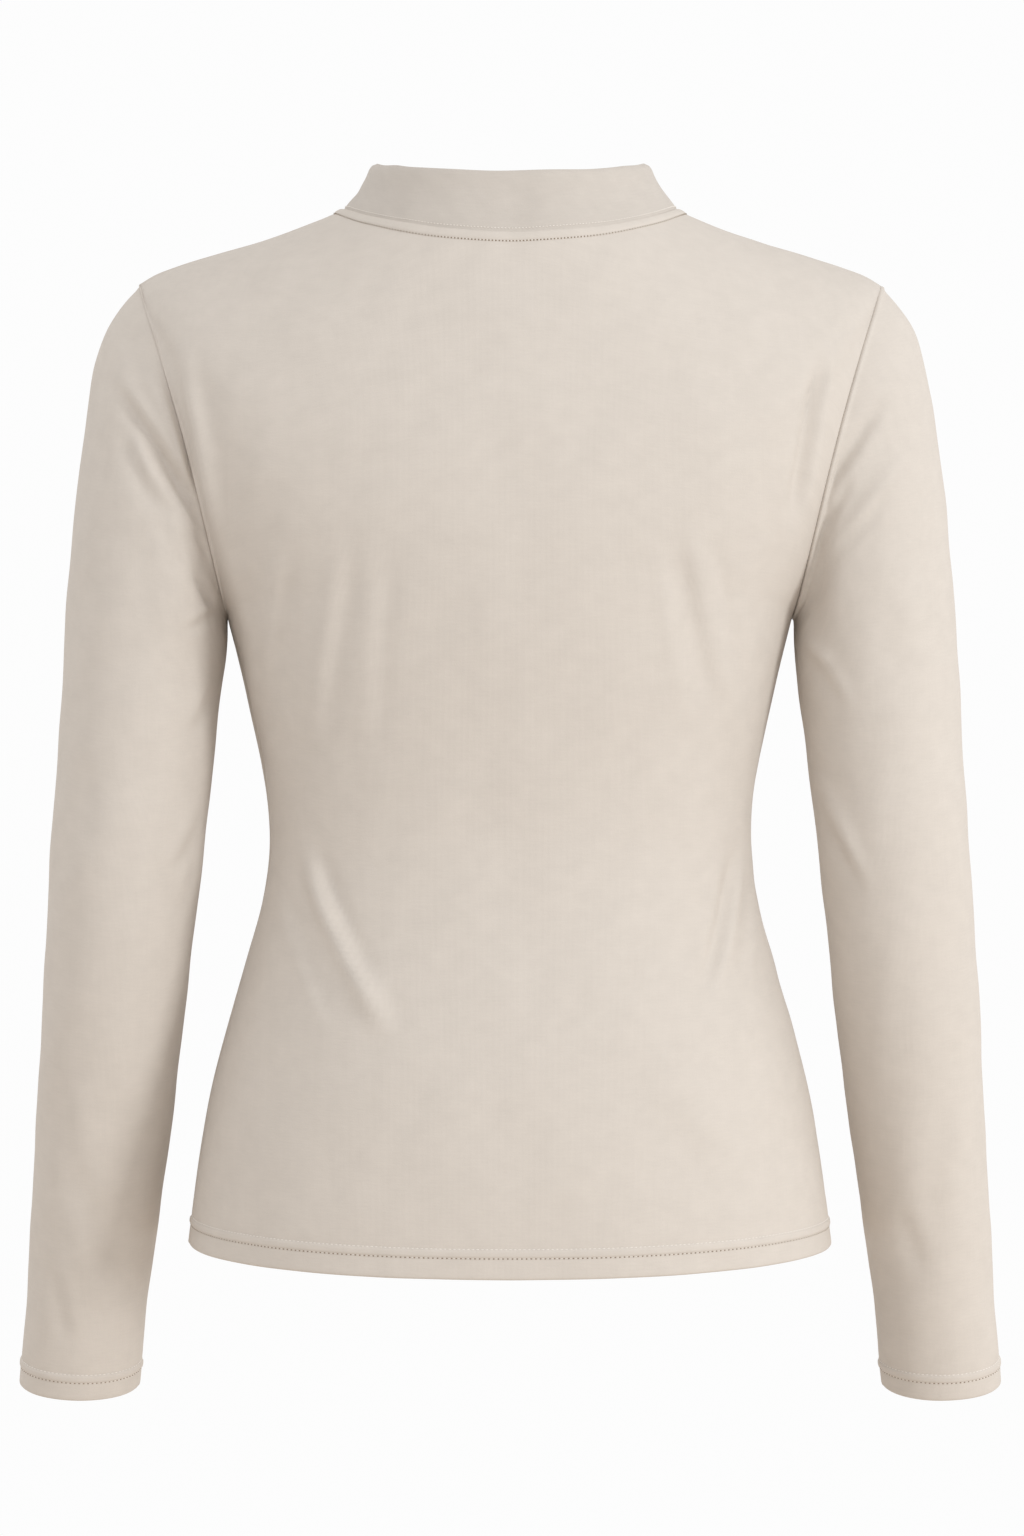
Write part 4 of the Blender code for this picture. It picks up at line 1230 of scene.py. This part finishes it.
class TOP_OT_stitches(PieceOperator, bpy.types.Operator):
    """Stitch the hem, the cuffs and the neckline"""

    bl_idname = "mock_neck_top.stitches"
    bl_label = "Stitches"

    def execute(self, context):
        pieces = garment()
        stitch = settings().stitch
        hem, neck, holes = [], [], []
        for face in ("back", "front"):
            cloth = pieces[face]
            low, high = (row_at(cloth.rows["hem_distance"], at) for at in HEM_NEEDLES)
            hem += [stitch_row(cloth, row, False, stitch.pitch) for row in (low, high)]
            holes.append(hole_shadow_row(cloth, low, False, stitch.pitch))
            row = row_at(cloth.rows["neck_distance"], NECK_NEEDLES.far)
            neck.append(stitch_row(cloth, row, False, stitch.neck_pitch))
            holes.append(hole_shadow_row(cloth, row, False, stitch.neck_pitch))
        neck.append(stitch_row(pieces["collar"], 1, True, stitch.neck_pitch))
        stitch_object("hem_stitches", hem, thread_material())
        stitch_object("neck_stitches", neck, thread_material())
        for word in ("left", "right"):
            cloth = pieces["sleeve_" + word]
            low, high = (row_at(cloth.rows["cuff_distance"], at) for at in CUFF_NEEDLES)
            rows = [stitch_row(cloth, row, True, stitch.pitch) for row in (low, high)]
            stitch_object("cuff_stitches_" + word, rows, thread_material())
            holes.append(hole_shadow_row(cloth, low, True, stitch.pitch))
        # small dark spots of painted shadow stand for the needle holes
        stitch_object("needle_holes", holes, matte_material("needle_hole", HOLE_SHADOW_PAINT))
        return {"FINISHED"}


def area_light(name, lamp, power):
    """A square light that faces the garment's middle."""
    light = bpy.data.lights.new(name, "AREA")
    light.energy = power
    light.size = lamp.size
    light.color = lamp.colour
    stand = linked(name, light)
    stand.location = lamp.place
    aim = np.array(LIGHT_AIM) - np.array(lamp.place)
    stand.rotation_euler = (
        np.arctan2(np.hypot(aim[0], aim[1]), -aim[2]), 0.0, np.arctan2(-aim[0], aim[1])
    )


class TOP_OT_stage(PieceOperator, bpy.types.Operator):
    """Lay the floor, hang the lights and stand the camera behind the garment"""

    bl_idname = "mock_neck_top.stage"
    bl_label = "Stage"

    def execute(self, context):
        stage = settings().stage
        floor_z = CAD_BOX[0][2] - stage.floor_gap
        turn = np.linspace(0, 2 * np.pi, FLOOR_SIDES, endpoint=False)
        x, y = FLOOR_RADIUS * np.cos(turn), FLOOR_RADIUS * np.sin(turn)
        rim = np.stack([x, y, 0 * turn + floor_z], axis=-1)
        mesh = bpy.data.meshes.new("floor")
        mesh.from_pydata(rim.tolist(), [], [list(range(len(turn)))])
        floor = linked("floor", mesh)
        mesh.materials.append(matte_material("floor_paint", FLOOR_PAINT))

        area_light("key", KEY_LIGHT, stage.key)
        area_light("overhead", OVERHEAD_LIGHT, stage.overhead)

        world = bpy.data.worlds.new("studio")
        context.scene.world = world
        world.use_nodes = True
        sky = world.node_tree.nodes["Background"]
        sky.inputs["Color"].default_value = (1.0, 1.0, 1.0, 1.0)
        sky.inputs["Strength"].default_value = stage.sky

        camera = bpy.data.cameras.new("camera")
        camera.sensor_width = CAMERA_SENSOR
        camera.lens = CAMERA_LENS
        stand = linked("camera", camera)
        stand.location = CAMERA_PLACE
        stand.rotation_euler = (np.pi / 2, 0.0, 0.0)
        context.scene.camera = stand
        context.scene.view_settings.view_transform = "Standard"
        return {"FINISHED"}


class TopSettings(bpy.types.PropertyGroup):
    """All sizes and colours that a user may change."""

    jersey: bpy.props.PointerProperty(type=JerseySettings)
    stitch: bpy.props.PointerProperty(type=StitchSettings)
    stage: bpy.props.PointerProperty(type=StageSettings)


OPERATORS = (
    TOP_OT_back, TOP_OT_front, TOP_OT_sleeves, TOP_OT_collar, TOP_OT_stitches, TOP_OT_stage,
)


class TOP_PT_panel(bpy.types.Panel):
    """Lists the garment's pieces and settings"""

    bl_idname = "TOP_PT_panel"
    bl_label = "Mock-neck top"
    bl_space_type = "VIEW_3D"
    bl_region_type = "UI"
    bl_category = "Top"

    def draw(self, context):
        layout = self.layout
        for operator in OPERATORS:
            layout.operator(operator.bl_idname)
        for group in ("jersey", "stitch", "stage"):
            values = getattr(settings(), group)
            for name in type(values).__annotations__:
                layout.prop(values, name)


CLASSES = (JerseySettings, StitchSettings, StageSettings, TopSettings, *OPERATORS, TOP_PT_panel)


def register():
    for known in CLASSES:
        bpy.utils.register_class(known)
    bpy.types.Scene.mock_neck_top = bpy.props.PointerProperty(type=TopSettings)


def unregister():
    del bpy.types.Scene.mock_neck_top
    for known in reversed(CLASSES):
        bpy.utils.unregister_class(known)


def main():
    """Build every piece and the stage."""
    register()
    tools = bpy.ops.mock_neck_top
    for build in (tools.back, tools.front, tools.sleeves, tools.collar, tools.stitches, tools.stage):
        build()


if __name__ == "__main__":
    main()
